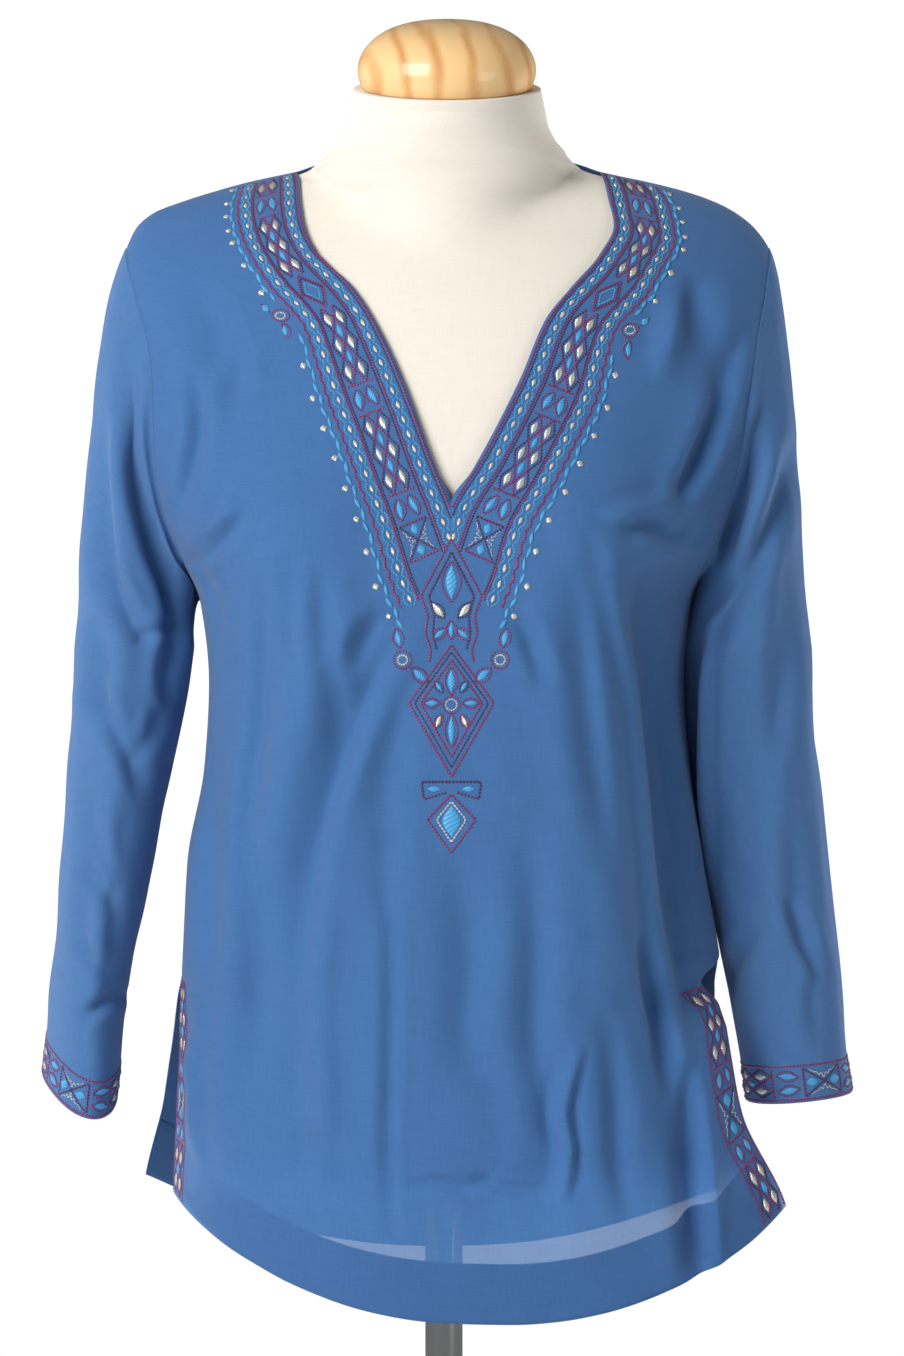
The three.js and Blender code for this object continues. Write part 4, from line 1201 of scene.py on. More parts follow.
# Over nothing but light, as on the sleeves, the same cloth looks paler. The sleeves' paler copy
# of the blue is painted light that stands in for the backdrop shining through them.
SLEEVE_PAINTED_GLOW_BLUES = (0.074, 0.196, 0.45), (0.094, 0.232, 0.505)
CREAMS = (0.76, 0.7, 0.61), (0.8, 0.745, 0.655)
COTTON_THREADS = (12000, 12000)
JERSEY_RIBS = (4200, 9000)
cotton = cloth_material("blue_cotton", BLUES, COTTON_THREADS, 0.3, COTTON_GLOW)
# A paler copy of the cotton, painted light for the sleeves.
sleeve_cotton_painted_glow = cloth_material(
    "sleeve_cotton_painted_glow", SLEEVE_PAINTED_GLOW_BLUES, COTTON_THREADS, 0.3, COTTON_GLOW)
sheer_cotton = cloth_material(
    "sheer_cotton", BLUES, COTTON_THREADS, 0.3, COTTON_GLOW, sheer=True)
jersey = cloth_material("cream_jersey", CREAMS, JERSEY_RIBS, 0.35, uneven=0.2, sheen=0.25)

# %% [markdown]
# Varnished pine shows bands of darker late wood in a paler ground. Blocks are glued up
# from planks and turned, so that the bands run down and across the dome. A clear coat
# gives the small sharp highlight.

# %% Varnished pine
pine, tree, shader, out = empty_material("varnished_pine")
place = add_node(tree, "ShaderNodeTexCoord")
mapping = add_node(tree, "ShaderNodeMapping")
mapping.inputs["Location"].default_value = (0.03, 0.4, -1.2)
mapping.inputs["Rotation"].default_value = (0.35, 0.5, 0.2)
mapping.inputs["Scale"].default_value = (1.0, 0.5, 0.5)
join(tree, place, "Object", mapping, "Vector")
rings = add_node(tree, "ShaderNodeTexWave", wave_type="RINGS", rings_direction="Z")
rings.inputs["Scale"].default_value = 17
rings.inputs["Distortion"].default_value = 4.5
rings.inputs["Detail"].default_value = 2.0
rings.inputs["Detail Scale"].default_value = 1.2
join(tree, mapping, "Vector", rings, "Vector")
fibre_map = add_node(tree, "ShaderNodeMapping")
fibre_map.inputs["Scale"].default_value = (700, 700, 35)
join(tree, place, "Object", fibre_map, "Vector")
fibre = add_node(tree, "ShaderNodeTexNoise", Scale=1.0, Detail=4.0)
join(tree, fibre_map, "Vector", fibre, "Vector")
clouds = add_node(tree, "ShaderNodeTexNoise", Scale=22.0, Detail=2.0)
join(tree, place, "Object", clouds, "Vector")
# A power narrows the bands of late wood into lines.
late_wood = math_node(tree, "POWER", (rings, "Fac"), 3.0)
weaker = math_node(tree, "MULTIPLY", late_wood, (clouds, "Fac"))
grain = math_node(tree, "MULTIPLY_ADD", (fibre, "Fac"), 0.3, weaker)
ramp = colour_ramp(tree, grain, [
    (0.2, (0.84, 0.55, 0.26)), (0.5, (0.74, 0.42, 0.17)), (0.8, (0.6, 0.3, 0.11))])
join(tree, *ramp, shader, "Base Color")
shader.inputs["Roughness"].default_value = 0.38
shader.inputs["Specular IOR Level"].default_value = 0.3
shader.inputs["Coat Weight"].default_value = 0.45
shader.inputs["Coat Roughness"].default_value = 0.1

# %% Chromed steel
chrome, tree, shader, out = empty_material("chromed_steel")
place = add_node(tree, "ShaderNodeTexCoord")
smudge = add_node(tree, "ShaderNodeTexNoise", Scale=14.0, Detail=4.0)
join(tree, place, "Object", smudge, "Vector")
ramp = add_node(tree, "ShaderNodeMapRange")
for name, value in (("To Min", 0.05), ("To Max", 0.2)):
    ramp.inputs[name].default_value = value
join(tree, smudge, "Fac", ramp, "Value")
join(tree, ramp, "Result", shader, "Roughness")
shader.inputs["Base Color"].default_value = (0.78, 0.79, 0.8, 1)
shader.inputs["Metallic"].default_value = 1.0

# %% Put the finishes on
for obj in (front, back, hem_front, hem_back):
    obj.data.materials.append(cotton)
# The sleeves wear the paler copy of the cotton: painted light for the backdrop shining through
# them.
for obj in sleeves.values():
    obj.data.materials.append(sleeve_cotton_painted_glow)
# The single layer near the front hem is sheer, and grows so from its top down.
SHEER_TOP, SHEER_FULL = 0.8, 0.765
front.data.materials.append(sheer_cotton)
single = front.data.attributes.new("single", "FLOAT", "POINT")
for vertex in front.data.vertices:
    single.data[vertex.index].value = min(
        max((SHEER_TOP - vertex.co.z) / (SHEER_TOP - SHEER_FULL), 0.0), 1.0)
for polygon in front.data.polygons:
    polygon.material_index = int(polygon.center.z < SHEER_TOP)
torso.data.materials.append(jersey)
cap.data.materials.append(pine)
for obj in (flange, pole, foot):
    obj.data.materials.append(chrome)

# %% [markdown]
# ## Fastening the pieces to the measured model
#
# Nothing on this object moves, so every piece rides on its one body. Each one stands
# for a measured solid.

# %% Ride and replace
everything = {
    front: ("front", "cloth"), back: ("back", "cloth"),
    sleeves[-1]: ("sleeve_left", "cloth"), sleeves[1]: ("sleeve_right", "cloth"),
    torso: ("form_torso", "jersey"), cap: ("neck_cap", "wood"),
    flange: ("pole_flange", "steel"), pole: ("pole", "steel"), foot: ("foot", "steel"),
}
for obj, (node, slot) in everything.items():
    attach(obj, "root")
    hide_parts(node)
for obj in (hem_front, hem_back):
    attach(obj, "root")

# %% [markdown]
# ## Embroidery
#
# The borders are machine embroidery: outlines of small back stitches in wine and dark
# plum thread, filled leaves and lozenges in satin stitch, wavy chains in bright blue,
# and pearls of silver thread. Each border is drawn as a chart of ordinary repeats:
# rows of lozenges, boxes with two leaves, and bars. The chart is laid along the edge,
# and only then are the stitches set, so that they follow the cloth wherever it goes.
#
# A stitch is a point with a direction, a length and a width. Geometry Nodes puts one
# small pad on each point and makes it real. Two pads are enough: a round-ended one for
# stitches, and a pointed one for satin-stitched leaves.

# %% The two pads
def pad_mesh(name, pointed, along=4, across=3):
    """A pad one unit long and wide and half a unit high, with lengthwise texture."""
    vertices, uvs = [], []
    for i in range(along + 1):
        t = i / along
        width = 0.5 * (math.sin(math.pi * t) ** (1.15 if pointed else 0.5))
        for k in range(across + 1):
            turn = math.pi * k / across
            height = 0.5 * math.sin(turn) * (2 * width) ** 0.7
            vertices.append((t - 0.5, -width * math.cos(turn), height))
            uvs.append((t, k / across))
    index = np.arange((along + 1) * (across + 1)).reshape(along + 1, across + 1)
    faces = np.stack([index[:-1, :-1], index[1:, :-1], index[1:, 1:], index[:-1, 1:]], -1)
    faces = faces.reshape(-1, 4)[:, ::-1]
    mesh = bpy.data.meshes.new(name)
    mesh.from_pydata(vertices, [], faces.tolist())
    layer = mesh.uv_layers.new(name="UVMap")
    layer.data.foreach_set("uv", np.array(uvs)[faces.ravel()].ravel().astype(np.float32))
    mesh.shade_smooth()
    pad = bpy.data.objects.new(name, mesh)
    bpy.context.scene.collection.objects.link(pad)
    weld(pad)
    print(name, "has", len(mesh.polygons), "faces")
    return pad


# Each kind of stitch: its pad and how high it stands, in metres.
pads = {
    "stitch": (pad_mesh("stitch_pad", False), 0.0010),
    "leaf": (pad_mesh("leaf_pad", True, 8, 6), 0.0018),
}


# %% Geometry Nodes: a pad on each point
def stitching_tree():
    """Points with aim, out, long and wide attributes become realized pads."""
    tree = bpy.data.node_groups.new("stitching", "GeometryNodeTree")
    for name, kind, value in (
            ("Points", "NodeSocketGeometry", None), ("Pad", "NodeSocketObject", None),
            ("Height", "NodeSocketFloat", 0.0005), ("Unevenness", "NodeSocketFloat", 0.08),
            ("Seed", "NodeSocketInt", 4), ("Thread", "NodeSocketMaterial", None)):
        socket = tree.interface.new_socket(name, in_out="INPUT", socket_type=kind)
        if value is not None:
            socket.default_value = value
    tree.interface.new_socket("Stitches", in_out="OUTPUT", socket_type="NodeSocketGeometry")
    given, result = add_node(tree, "NodeGroupInput"), add_node(tree, "NodeGroupOutput")

    def attribute(name, kind):
        node = add_node(tree, "GeometryNodeInputNamedAttribute", data_type=kind)
        node.inputs["Name"].default_value = name
        return node

    aim, out_way = attribute("aim", "FLOAT_VECTOR"), attribute("out", "FLOAT_VECTOR")
    long, wide = attribute("long", "FLOAT"), attribute("wide", "FLOAT")
    lift = add_node(tree, "FunctionNodeAlignRotationToVector", axis="Z")
    join(tree, out_way, "Attribute", lift, "Vector")
    turn = add_node(tree, "FunctionNodeAlignRotationToVector", axis="X", pivot_axis="Z")
    join(tree, lift, "Rotation", turn, "Rotation")
    join(tree, aim, "Attribute", turn, "Vector")
    chance = add_node(tree, "FunctionNodeRandomValue", data_type="FLOAT")
    for operation, socket in (("SUBTRACT", 2), ("ADD", 3)):
        limit = math_node(tree, operation, 1.0, (given, "Unevenness"))
        join(tree, *limit, chance, socket)
    join(tree, given, "Seed", chance, "Seed")
    width = math_node(tree, "MULTIPLY", (wide, "Attribute"), (chance, 1))
    size = add_node(tree, "ShaderNodeCombineXYZ")
    join(tree, long, "Attribute", size, "X")
    join(tree, *width, size, "Y")
    join(tree, given, "Height", size, "Z")
    pad = add_node(tree, "GeometryNodeObjectInfo")
    join(tree, given, "Pad", pad, "Object")
    place = add_node(tree, "GeometryNodeInstanceOnPoints")
    join(tree, given, "Points", place, "Points")
    join(tree, pad, "Geometry", place, "Instance")
    join(tree, turn, "Rotation", place, "Rotation")
    join(tree, size, "Vector", place, "Scale")
    real = add_node(tree, "GeometryNodeRealizeInstances")
    join(tree, place, "Instances", real, "Geometry")
    finish = add_node(tree, "GeometryNodeSetMaterial")
    join(tree, real, "Geometry", finish, "Geometry")
    join(tree, given, "Thread", finish, "Material")
    join(tree, finish, "Geometry", result, "Stitches")
    return tree


stitching = stitching_tree()

# %% [markdown]
# Thread shines along the bundle of its fibres. Silver thread is wrapped in a metal
# strip, which is why it glitters. Each finish reads the pad's own texture coordinates
# for the fine ridges of the threads.


# %% Thread finishes
def thread_material(name, colour, ridges, metal=0.0, rough=0.42):
    """A thread's colour, darker between slanting ridges as painted shade, with its shine."""
    material, tree, shader, out = empty_material(name)
    place = add_node(tree, "ShaderNodeUVMap", uv_map="UVMap")
    split = add_node(tree, "ShaderNodeSeparateXYZ")
    join(tree, place, "UV", split, "Vector")
    slant = math_node(tree, "MULTIPLY_ADD", (split, "Y"), 0.35, (split, "X"))
    wave = math_node(tree, "SINE", math_node(tree, "MULTIPLY", slant, ridges * 2 * math.pi))
    tone = add_node(tree, "ShaderNodeMapRange")
    tone.inputs["From Min"].default_value = -1.0
    join(tree, *wave, tone, "Value")
    # The darker colour between the ridges is painted shade.
    shade = [c * 0.62 for c in colour]
    join(tree, *colour_ramp(tree, (tone, "Result"), [(0, shade), (1, colour)]),
         shader, "Base Color")
    bump = add_node(tree, "ShaderNodeBump", Strength=0.5, Distance=0.0002)
    join(tree, *wave, bump, "Height")
    join(tree, bump, "Normal", shader, "Normal")
    shader.inputs["Roughness"].default_value = rough
    shader.inputs["Metallic"].default_value = metal
    shader.inputs["Sheen Weight"].default_value = 0.0 if metal else 0.2
    return material


thread_looks = {
    "wine": thread_material("wine_thread", (0.2, 0.015, 0.13), 1.5),
    "plum": thread_material("plum_thread", (0.055, 0.012, 0.1), 1.5),
    "blue": thread_material("bright_blue_thread", (0.06, 0.37, 0.74), 7),
    "silver": thread_material("silver_thread", (0.84, 0.82, 0.72), 7, 0.6, 0.3),
}


# %% The stitcher
SHORTEST_STITCH = 0.2


class Stitcher:
    """Collects stitches on one border. A place turns chart millimetres into points."""

    def __init__(self, place, allowed=None):
        self.place = place
        self.allowed = allowed or (lambda at: np.ones(len(at), bool))
        self.points = {}

    def keep(self, kind, thread, position, aim, out_way, long, wide):
        """Adds stitches of one kind and thread."""
        rows_of = self.points.setdefault((kind, thread), [])
        rows_of.append(np.column_stack([position, aim, out_way, long, wide]))

    def line(self, chart, thread, pitch=2.4, wide=1.4, gap=0.04):
        """Back stitches along a chart line of (along, across) points."""
        chart = np.array(chart, float)
        steps = np.maximum(np.linalg.norm(np.diff(chart, axis=0), axis=1), 1e-6)
        reach = np.concatenate([[0], np.cumsum(steps)])
        fine = np.linspace(0, reach[-1], max(int(reach[-1] / 0.5), 2) + 1)
        along, across = (np.interp(fine, reach, chart[:, k]) for k in (0, 1))
        position, out_way = self.place(along, across)
        length = travel(position)
        count = max(int(round(length[-1] / pitch)), 1)
        ends = np.linspace(0, length[-1], count + 1)
        at = points_at(ends, length, position)
        normal = points_at((ends[1:] + ends[:-1]) / 2, length, out_way)
        aim = np.diff(at, axis=0)
        long = np.linalg.norm(aim, axis=1)
        centre = (at[1:] + at[:-1]) / 2
        good = (long > SHORTEST_STITCH) & self.allowed(centre)
        self.keep("stitch", thread, centre[good], aim[good], normal[good],
                  long[good] * (1 - gap), np.full(good.sum(), wide))

    def leaf(self, along, across, direction, long, wide, thread, outline=None, ring=1.0):
        """A satin-stitched leaf at a chart point. Its direction is an angle in degrees."""
        way = np.array([math.cos(math.radians(direction)), math.sin(math.radians(direction))])
        ends = np.array([[along, across]] * 2) + np.outer([-0.5, 0.5], way) * long
        position, out_way = self.place(ends[:, 0], ends[:, 1])
        aim = position[1:] - position[:1]
        normal = out_way.mean(axis=0, keepdims=True)
        centre, _ = self.place(np.array([along]), np.array([across]))
        if not self.allowed(centre)[0]:
            return
        self.keep("leaf", thread, centre, aim, normal, np.linalg.norm(aim, axis=1), [wide])
        if outline:
            side = np.array([-way[1], way[0]])
            t = np.linspace(0, 1, 13)[:, None]
            bow = np.sin(math.pi * t) ** 0.9 * (wide / 2 + ring)
            spine = np.array([along, across]) + way * (t - 0.5) * (long + 1.6 * ring)
            self.line(spine + side * bow, outline, 1.9, 1.3)
            self.line(spine - side * bow, outline, 1.9, 1.3)

    def ring(self, along, across, radius, thread, pitch=1.6, wide=0.8):
        """Back stitches round a circle."""
        turn = np.linspace(0, 2 * math.pi, 25)
        circle = [along + radius * np.cos(turn), across + radius * np.sin(turn)]
        self.line(np.column_stack(circle), thread, pitch, wide)

    def finish(self, name):
        """One mesh object of all the stitches, made by the stitching tree."""
        made = []
        for (kind, thread), blocks in self.points.items():
            data = np.vstack(blocks)
            mesh = bpy.data.meshes.new("points")
            mesh.from_pydata((data[:, :3] * MM).tolist(), [], [])
            for label, column in (("aim", 3), ("out", 6)):
                layer = mesh.attributes.new(label, "FLOAT_VECTOR", "POINT")
                vectors = data[:, column:column + 3].ravel().astype(np.float32)
                layer.data.foreach_set("vector", vectors)
            for label, column in (("long", 9), ("wide", 10)):
                layer = mesh.attributes.new(label, "FLOAT", "POINT")
                layer.data.foreach_set("value", (data[:, column] * MM).astype(np.float32))
            source = bpy.data.objects.new("points", mesh)
            bpy.context.scene.collection.objects.link(source)
            modifier = source.modifiers.new("stitching", "NODES")
            modifier.node_group = stitching
            pad, height = pads[kind]
            values = {"Pad": pad, "Height": height, "Unevenness": 0.1, "Seed": 7,
                      "Thread": thread_looks[thread]}
            for socket in stitching.interface.items_tree:
                if socket.in_out == "INPUT" and socket.name in values:
                    modifier[socket.identifier] = values[socket.name]
            graph = bpy.context.evaluated_depsgraph_get()
            mesh = bpy.data.meshes.new_from_object(source.evaluated_get(graph))
            made.append(bpy.data.objects.new(name, mesh))
            bpy.context.scene.collection.objects.link(made[-1])
            bpy.data.objects.remove(source)
        with bpy.context.temp_override(
                active_object=made[0], object=made[0], selected_objects=made,
                selected_editable_objects=made):
            bpy.ops.object.join()
        obj = made[0]
        obj.name = name
        obj.data.name = name
        for layer in list(obj.data.attributes):
            if layer.name in ("aim", "out", "long", "wide"):
                obj.data.attributes.remove(layer)
        print(name, "has", sum(len(b) for rows_of in self.points.values() for b in rows_of),
              "stitches,", len(obj.data.polygons), "faces")
        return obj


# %% [markdown]
# The repeats are shared by every border: a run of lozenges in a lattice, a box with
# two leaves, a bar across, and a box with crossed triangles.


# %% Repeats
def lattice(border, start, long, low, high):
    """Pairs of silver lozenges with a blue one between each two pairs."""
    middle, half = (low + high) / 2, (high - low) / 4
    count = max(round(long / 18.6), 1)
    pitch = long / count
    for row in range(count):
        at = start + pitch * (row + 0.5)
        for side in (-1, 1):
            column = middle + side * half
            border.leaf(at, column, 0, pitch * 0.52, half * 0.95, "silver")
            for flank in (-1, 1):
                border.line([(at - pitch / 2, column), (at, column + flank * half),
                             (at + pitch / 2, column)],
                            "plum" if flank * side > 0 else "wine", 2.1, 1.9)
        if row < count - 1:
            border.leaf(at + pitch / 2, middle, 0, pitch * 0.5, half * 0.8, "blue")


def bar(border, at, low, high):
    """A straight line across the border."""
    border.line([(at, low), (at, high)], "wine", 2.1, 1.9)


def leaf_box(border, start, long, low, high):
    """Two upright leaves in wine outlines, between bars."""
    bar(border, start, low, high)
    bar(border, start + long, low, high)
    wide = (high - low) / 2
    for k in (0, 1):
        border.leaf(start + long / 2, low + wide * (k + 0.5), 8 - 16 * k, long * 0.6, 4.2,
                    "blue", "wine", 1.4)


def diamond(border, start, long, low, high):
    """A large lozenge in wine with a bright blue one inside."""
    at, middle, half = start + long / 2, (low + high) / 2, (high - low) / 2
    for size, thread in ((1.0, "wine"), (0.84, "plum"), (0.56, "blue")):
        border.line([(at - size * long / 2, middle), (at, middle + half * size),
                     (at + size * long / 2, middle), (at, middle - half * size),
                     (at - size * long / 2, middle)], thread, 1.9, 1.5)


def triangles(border, start, long, low, high):
    """Crossed triangles, two of them with zigzags of silver thread."""
    bar(border, start, low, high)
    bar(border, start + long, low, high)
    at, middle, half = start + long / 2, (low + high) / 2, (high - low) / 2
    for side in (-1, 1):
        border.line([(start, middle + side * half), (at, middle),
                     (start + long, middle + side * half)], "plum", 1.9, 1.5)
        steps = np.linspace(-1, 1, 13)
        swing = np.where(np.arange(13) % 2 > 0, 0.3, 1.0) * (1 - np.abs(steps)) * half * 0.7
        border.line(np.column_stack([at + steps * long * 0.36,
                                     middle + side * (half - 1.4 - swing)]), "silver", 1.7, 0.8)
        border.leaf(at + side * long * 0.3, middle, 0, long * 0.3, half * 0.62, "blue")


repeats = {"lattice": lattice, "leaves": leaf_box, "diamond": diamond, "triangles": triangles}


def run_chart(border, start, end, low, high, chart):
    """Lay repeats in a row, stretched a little so that they fill the length."""
    chart = [item.split() for item in chart]
    scale = (end - start) / sum(float(long) for _, long in chart)
    for name, long in chart:
        long = float(long) * scale
        repeats[name](border, start, long, low, high)
        start += long


def wavy_chain(border, start, end, across, pitch=10.4):
    """A chain of bright blue ovals with a silver bead in each."""
    count = max(int((end - start) / pitch), 1)
    pitch = (end - start) / count
    t = np.linspace(0, 1, count * 14 + 1)
    swell = 0.5 + 2.7 * np.abs(np.sin(math.pi * count * t)) ** 0.8
    for side in (-1, 1):
        border.line(np.column_stack([start + (end - start) * t, across + side * swell]),
                    "blue", 2.0, 1.6, 0.0)
    for k in range(count):
        border.leaf(start + pitch * (k + 0.5), across, 0, 5.8, 2.6, "silver")


def flower(border, along, across, leaves, size=6.0):
    """A ring of silver thread in a wine one, with pointed leaves about it."""
    border.ring(along, across, size * 0.55, "silver", 1.5, 1.5)
    border.ring(along, across, size, "wine", 2.0, 1.3)
    for angle, long in leaves:
        way = math.radians(angle)
        far = size + long / 2 + 1.8
        border.leaf(along + far * math.cos(way), across + far * math.sin(way), angle,
                    long * 0.8, long * 0.3, "blue", "wine", long * 0.14)

# %% [markdown]
# Before stitching, the cloth under each border is measured as a patch: a small grid of
# points with one axis along the border and one across it. A chart point is then placed
# by reading between the points of the grid, which is quick however long the chart is.


# %% Patches of cloth under a border
class Patch:
    """A grid of cloth points that turns chart millimetres into places and directions."""

    def __init__(self, along, across, points, toward, lift=0.1):
        self.along, self.across = np.asarray(along, float), np.asarray(across, float)
        normal = grid_normals(points)
        middle = tuple(n // 2 for n in points.shape[:2])
        if np.dot(normal[middle], toward) < 0:
            normal = -normal
        self.both = np.concatenate([points + normal * lift, normal], axis=-1)

    def __call__(self, along, across):
        shares = []
        for value, axis in ((along, self.along), (across, self.across)):
            at = np.interp(value, axis, np.arange(len(axis)))
            low = np.minimum(at.astype(int), len(axis) - 2)
            shares.append((low, (at - low)[:, None]))
        (i, s), (j, t) = shares
        grid = self.both
        value = (grid[i, j] * (1 - s) + grid[i + 1, j] * s) * (1 - t)
        value = value + (grid[i, j + 1] * (1 - s) + grid[i + 1, j + 1] * s) * t
        return value[:, :3], value[:, 3:]


def front_points(x, z):
    """Points of the front's cloth at x and z."""
    return blouse_points(turn_at(blouse_ring(z, FRONT), x), z, FRONT)


# %% [markdown]
# ## The neckline's border
#
# The border starts under the V and runs up both sides of the neckline to the shoulder
# seams. A table gives points of its inner and its outer edge. Its middle zone holds the
# lattice, with a chain on each side, then a scalloped line, a line of small leaves and
# a row of pearls.

# %% Neckline border patches
band_edges = rows("inner_x inner_z outer_x outer_z", """
    29 1160 -25 1138.6
    17 1190 -37 1165
    5 1220 -46.8 1199
    -6.7 1248 -57 1228
    -18 1279 -68 1259
    -28 1305 -78 1285
    -38 1327 -86 1311
    -48 1346 -93 1333
    -60 1363 -103 1347
    -72 1376 -113 1358
    -83 1388 -125 1376
    -91 1404 -134 1393
    -94.5 1422 -139 1409
    -96 1438 -140 1424
    -98.6 1447 -137 1437""")


def band_patch(side):
    """The border's patch: along it from the V upwards, across it outwards."""
    inner = np.column_stack([band_edges["inner_x"], band_edges["inner_z"]])
    outer = np.column_stack([band_edges["outer_x"], band_edges["outer_z"]])
    if side > 0:
        shift = outer - inner
        inner[3:, 0] = neckline["right"](inner[3:, 1])
        inner[:3, 0] = 2 * V_MIDDLE - inner[:3, 0]
        outer = inner + shift * [-1, 1]
    inner, outer = smooth_path(inner, 10), smooth_path(outer, 10)
    across = np.linspace(0, 60, 31)
    chart = inner[:, None] + (outer - inner)[:, None] * (across / 50)[None, :, None]
    points = front_points(chart[..., 0], np.minimum(chart[..., 1], NECK_CORNER - 0.2))
    along = travel(points[:, 12])
    start = along[20]
    return Patch(along - start, across, points, (0, -1, 0)), along[-1] - start


def beside_pendant(side):
    """Where the neckline border may be stitched: on its side, clear of the tent."""
    def allowed(at):
        x, z = at[:, 0] - V_MIDDLE, at[:, 2]
        off = np.maximum((1197 - z) * 0.53, 0) + 0.6
        return x * side > np.where(z < 1160, 20.5, off)

    return allowed


# %% Stitch the neckline's border
# Straight lines: millimetres from the inner edge, thread, stitch length and width.
neck_lines = (
    (2, "wine", 2.2, 1.9), (3.8, "plum", 1.8, 1.3), (12.9, "wine", 1.8, 1.7),
    (14.6, "plum", 1.8, 1.7), (34.6, "plum", 1.8, 1.7), (36, "wine", 1.8, 1.7))
LATTICE_LOW, LATTICE_HIGH = 16.4, 33.2
neck_parts = []
for side, name in ((-1, "left"), (1, "right")):
    patch, top = band_patch(side)
    border = Stitcher(patch, beside_pendant(side))
    top -= 1.5
    for across, thread, pitch, wide in neck_lines:
        border.line([(-60, across), (top, across)], thread, pitch, wide)
    wavy_chain(border, -26, top, 8.4)
    wavy_chain(border, -52, top, 40.2)
    run_chart(border, -26, top, LATTICE_LOW, LATTICE_HIGH, [
        "triangles 22", "leaves 20", "lattice 54", "leaves 20", "lattice 55", "diamond 30",
        "lattice 54", "leaves 22", "lattice 20"])
    steps = np.arange(-50, top, 1.2)
    scallop = 45.0 + 1.8 * np.abs(np.sin(math.pi * steps / 8.6))
    border.line(np.column_stack([steps, scallop]), "wine", 1.9, 2.0)
    flower_at = 160 if side < 0 else 152
    for k, at in enumerate(np.arange(-60, top, 8.2)):
        if abs(at - flower_at) > 17:
            border.leaf(at, 50.5 + 0.5 * (-1) ** k, 8 * (-1) ** k, 9.0, 2.5, "blue")
    for at in np.concatenate([np.arange(-52, 232, 21.5), np.arange(240, top, 15)]):
        if abs(at - flower_at) > 22:
            border.leaf(at, 54.6, 0, 4.6, 4.2, "silver")
    flower(border, flower_at, 55.5, ((165, 13), (40, 14)), 6.0)
    neck_parts.append(border.finish(f"neck_stitches_{name}"))
    print("neck border", name, "is", round(float(top), 1), "mm long from the V")

# %% [markdown]
# The pendant under the V is a stack of plain shapes: a tent with one leaf, a large
# lozenge with leaves crosswise round a ring, a bar, and a small lozenge of silver
# stitches. All of them are ordinary shapes set in line.

# %% Stitch the pendant
chart_x, chart_z = np.linspace(-45, 45, 46), np.linspace(985, 1215, 116)
points = front_points(*np.meshgrid(V_MIDDLE + chart_x, chart_z, indexing="ij"))
border = Stitcher(Patch(chart_x, chart_z, points, (0, -1, 0)))


def loop(corners, thread, wide=1.9):
    """A closed outline of the pendant, mirrored about its middle line."""
    border.line(corners, thread, 2.2, wide)
    border.line([(-x, z) for x, z in reversed(corners)], thread, 2.2, wide)


loop([(0, 1196.5), (19.5, 1160), (15, 1148), (16.5, 1136), (13, 1126), (14, 1118)], "wine")
loop([(0, 1188), (14.5, 1160)], "plum")
loop([(14.5, 1160), (11, 1148), (12, 1136), (9.5, 1126)], "plum")
border.leaf(0, 1169, 90, 22, 7, "blue", "wine", 2.6)
for side in (-1, 1):
    border.leaf(side * 8.5, 1151, 90 - side * 40, 11, 4.2, "silver", "plum", 1.4)
    border.leaf(side * 7.5, 1136, 90 + side * 52, 9, 3.4, "blue", "wine", 1.6)
border.leaf(0, 1138.5, 90, 10, 3.6, "blue", "wine", 1.6)
loop([(0, 1129), (27, 1092), (0, 1045)], "wine")
loop([(0, 1124.5), (23.5, 1092), (0, 1051)], "plum", 1.3)
loop([(0, 1119.5), (19.8, 1092), (0, 1057.5)], "wine")
border.ring(0, 1091, 3.6, "silver", 1.5, 1.2)
border.ring(0, 1091, 5.6, "wine", 1.8, 1.1)
border.leaf(0, 1106, 90, 15, 4.6, "blue", "wine", 1.9)
border.leaf(0, 1074.5, 90, 19, 4.6, "blue", "wine", 1.9)
for side in (-1, 1):
    border.leaf(side * 12.4, 1092, 0, 8.5, 3.4, "blue", "wine", 1.6)
    border.leaf(side * 8.2, 1080.5, 90 + side * 24, 8, 3.2, "silver", "wine", 1.2)
    border.leaf(side * 8, 1102.5, 90 - side * 34, 7.5, 2.6, "blue", "plum", 1.2)
loop([(0, 1042), (19, 1042), (17.5, 1031), (3, 1035.5)], "plum")
for side in (-1, 1):
    border.leaf(side * 11, 1037.5, 0, 9, 3.6, "blue")
loop([(0, 1034), (15.5, 1018), (0, 997)], "wine")
loop([(0, 1029.5), (9.5, 1018), (0, 1004)], "silver", 1.3)
border.leaf(0, 1017, 90, 20, 11, "blue")
for side in (-1, 1):
    flower(border, side * 31, 1119.5, ((90 - side * 12, 13), (270 - side * 48, 14)), 5.8)
pendant = border.finish("neck_stitches_pendant")

# %% [markdown]
# ## Borders of the slits and the cuffs
#
# Both use the same chart between two wine lines. On the slits it runs up from the hem
# along the free edges and ends in a bar. On the cuffs it runs round the sleeve's end.


# %% Slit and cuff patches
BORDER_TOP = 906
SLIT_BORDER = 26
# The charts of a slit and of a cuff: each repeat with its length in millimetres.
slit_chart = ["lattice 37", "leaves 16", "triangles 28", "leaves 16", "lattice 54"]
cuff_chart = ["lattice 37", "leaves 20", "triangles 26", "leaves 20", "lattice 56",
              "leaves 20", "triangles 26", "leaves 20"]


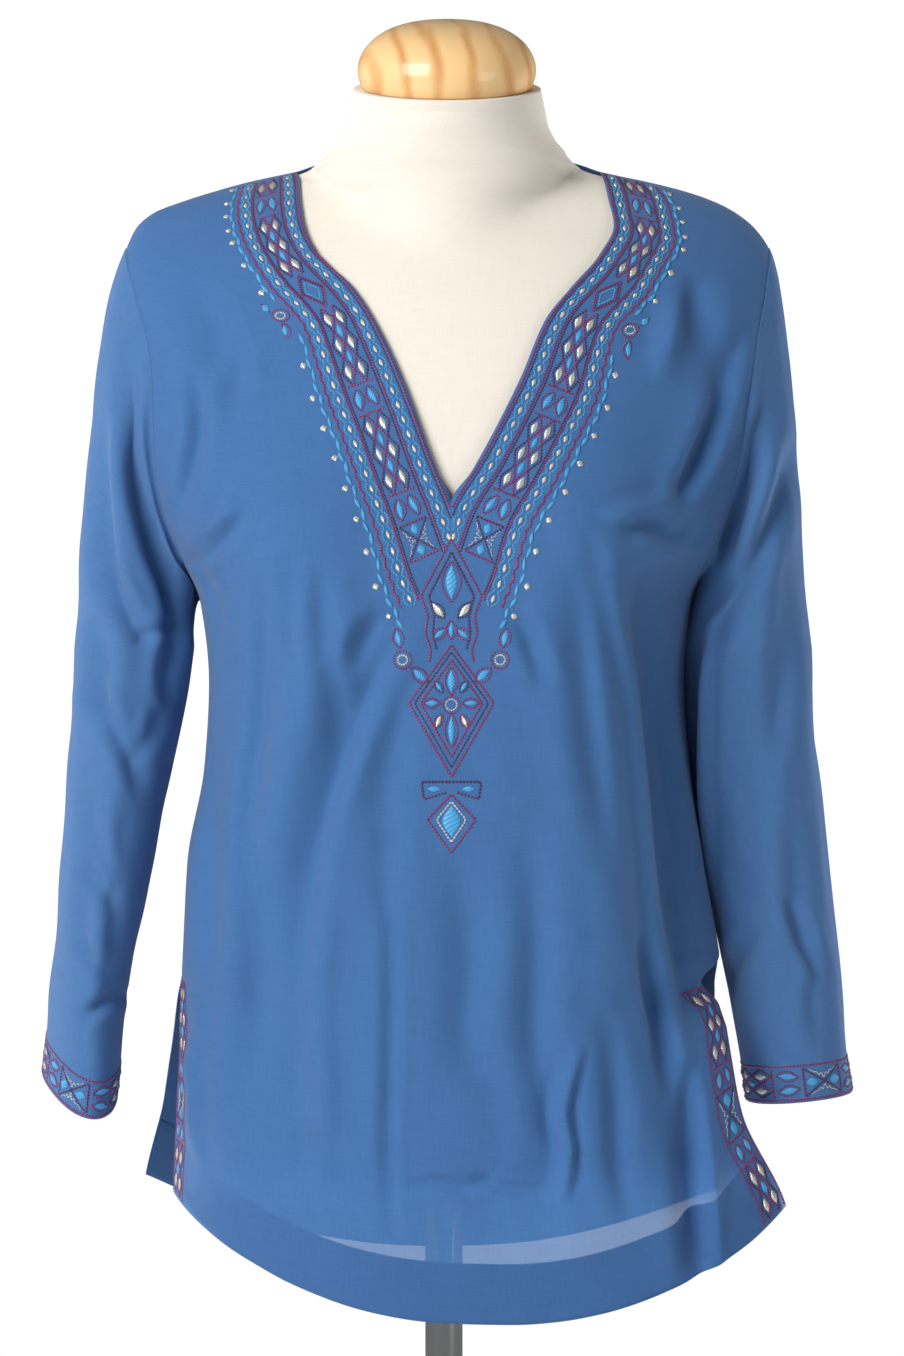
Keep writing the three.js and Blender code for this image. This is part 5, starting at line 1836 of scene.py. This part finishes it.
def slit_patch(face, side, count=90):
    """The patch along a free edge: along it upwards, across it inwards."""
    across = np.linspace(0, SLIT_BORDER, 27)
    points = []
    for share in np.linspace(0.004, 1, count):
        ends = low_turns(face, *panel_edges(face), np.array(share))
        start = ends[0] if side < 0 else ends[1]
        turn = start - side * np.linspace(0, 0.6, 110)
        line = blouse_points(turn, low_height(face, turn, share), face)
        points.append(points_at(across, travel(line), line))
        if line[0, 2] > BORDER_TOP:
            break
    points = np.array(points)
    along = travel(points[:, 0])
    return Patch(along, across, points, (0.3 * side, face, 0)), along[-1]


def cuff_patch(side):
    """The patch round a sleeve's end: along it round the sleeve, across it upwards."""
    grid = sleeve_grids[side][::-1][:24]
    rise = np.linalg.norm(np.diff(grid, axis=0), axis=-1).mean(axis=1)
    across = np.concatenate([[0], np.cumsum(rise)])
    along = travel(grid[4])
    middle = grid.shape[1] // 2
    away = grid[4, middle] - grid[4, 0]
    return Patch(along, across, grid.transpose(1, 0, 2), away), along[-1]


# %% Stitch the slits and the cuffs
edge_borders = {}
for face, face_name in ((FRONT, "front"), (BACK, "back")):
    for side, side_name in ((-1, "left"), (1, "right")):
        patch, top = slit_patch(face, side)
        border = Stitcher(patch)
        for across in (1.4, SLIT_BORDER - 2.0):
            border.line([(0.8, across), (top, across)], "wine", 2.2, 1.9)
        run_chart(border, 1.5, top - 1, 3.4, SLIT_BORDER - 3.6, slit_chart)
        bar(border, top - 1, 1.6, SLIT_BORDER - 2.0)
        name = f"{face_name}_{side_name}"
        edge_borders["slit_border_" + name] = border.finish("slit_stitches_" + name)
for side, side_name in ((-1, "left"), (1, "right")):
    patch, around = cuff_patch(side)
    border = Stitcher(patch)
    for across in (1.8, 24.4):
        border.line([(0, across), (around, across)], "wine", 2.2, 1.9)
    run_chart(border, 0, around, 3.6, 22.6, cuff_chart)
    edge_borders["cuff_border_" + side_name] = border.finish("cuff_stitches_" + side_name)
for pad, _ in pads.values():
    bpy.data.objects.remove(pad)

# %% Fasten the embroidery
for obj in neck_parts + [pendant]:
    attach(obj, "root")
    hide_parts("neck_border")
for node, obj in edge_borders.items():
    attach(obj, "root")
    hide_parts(node)
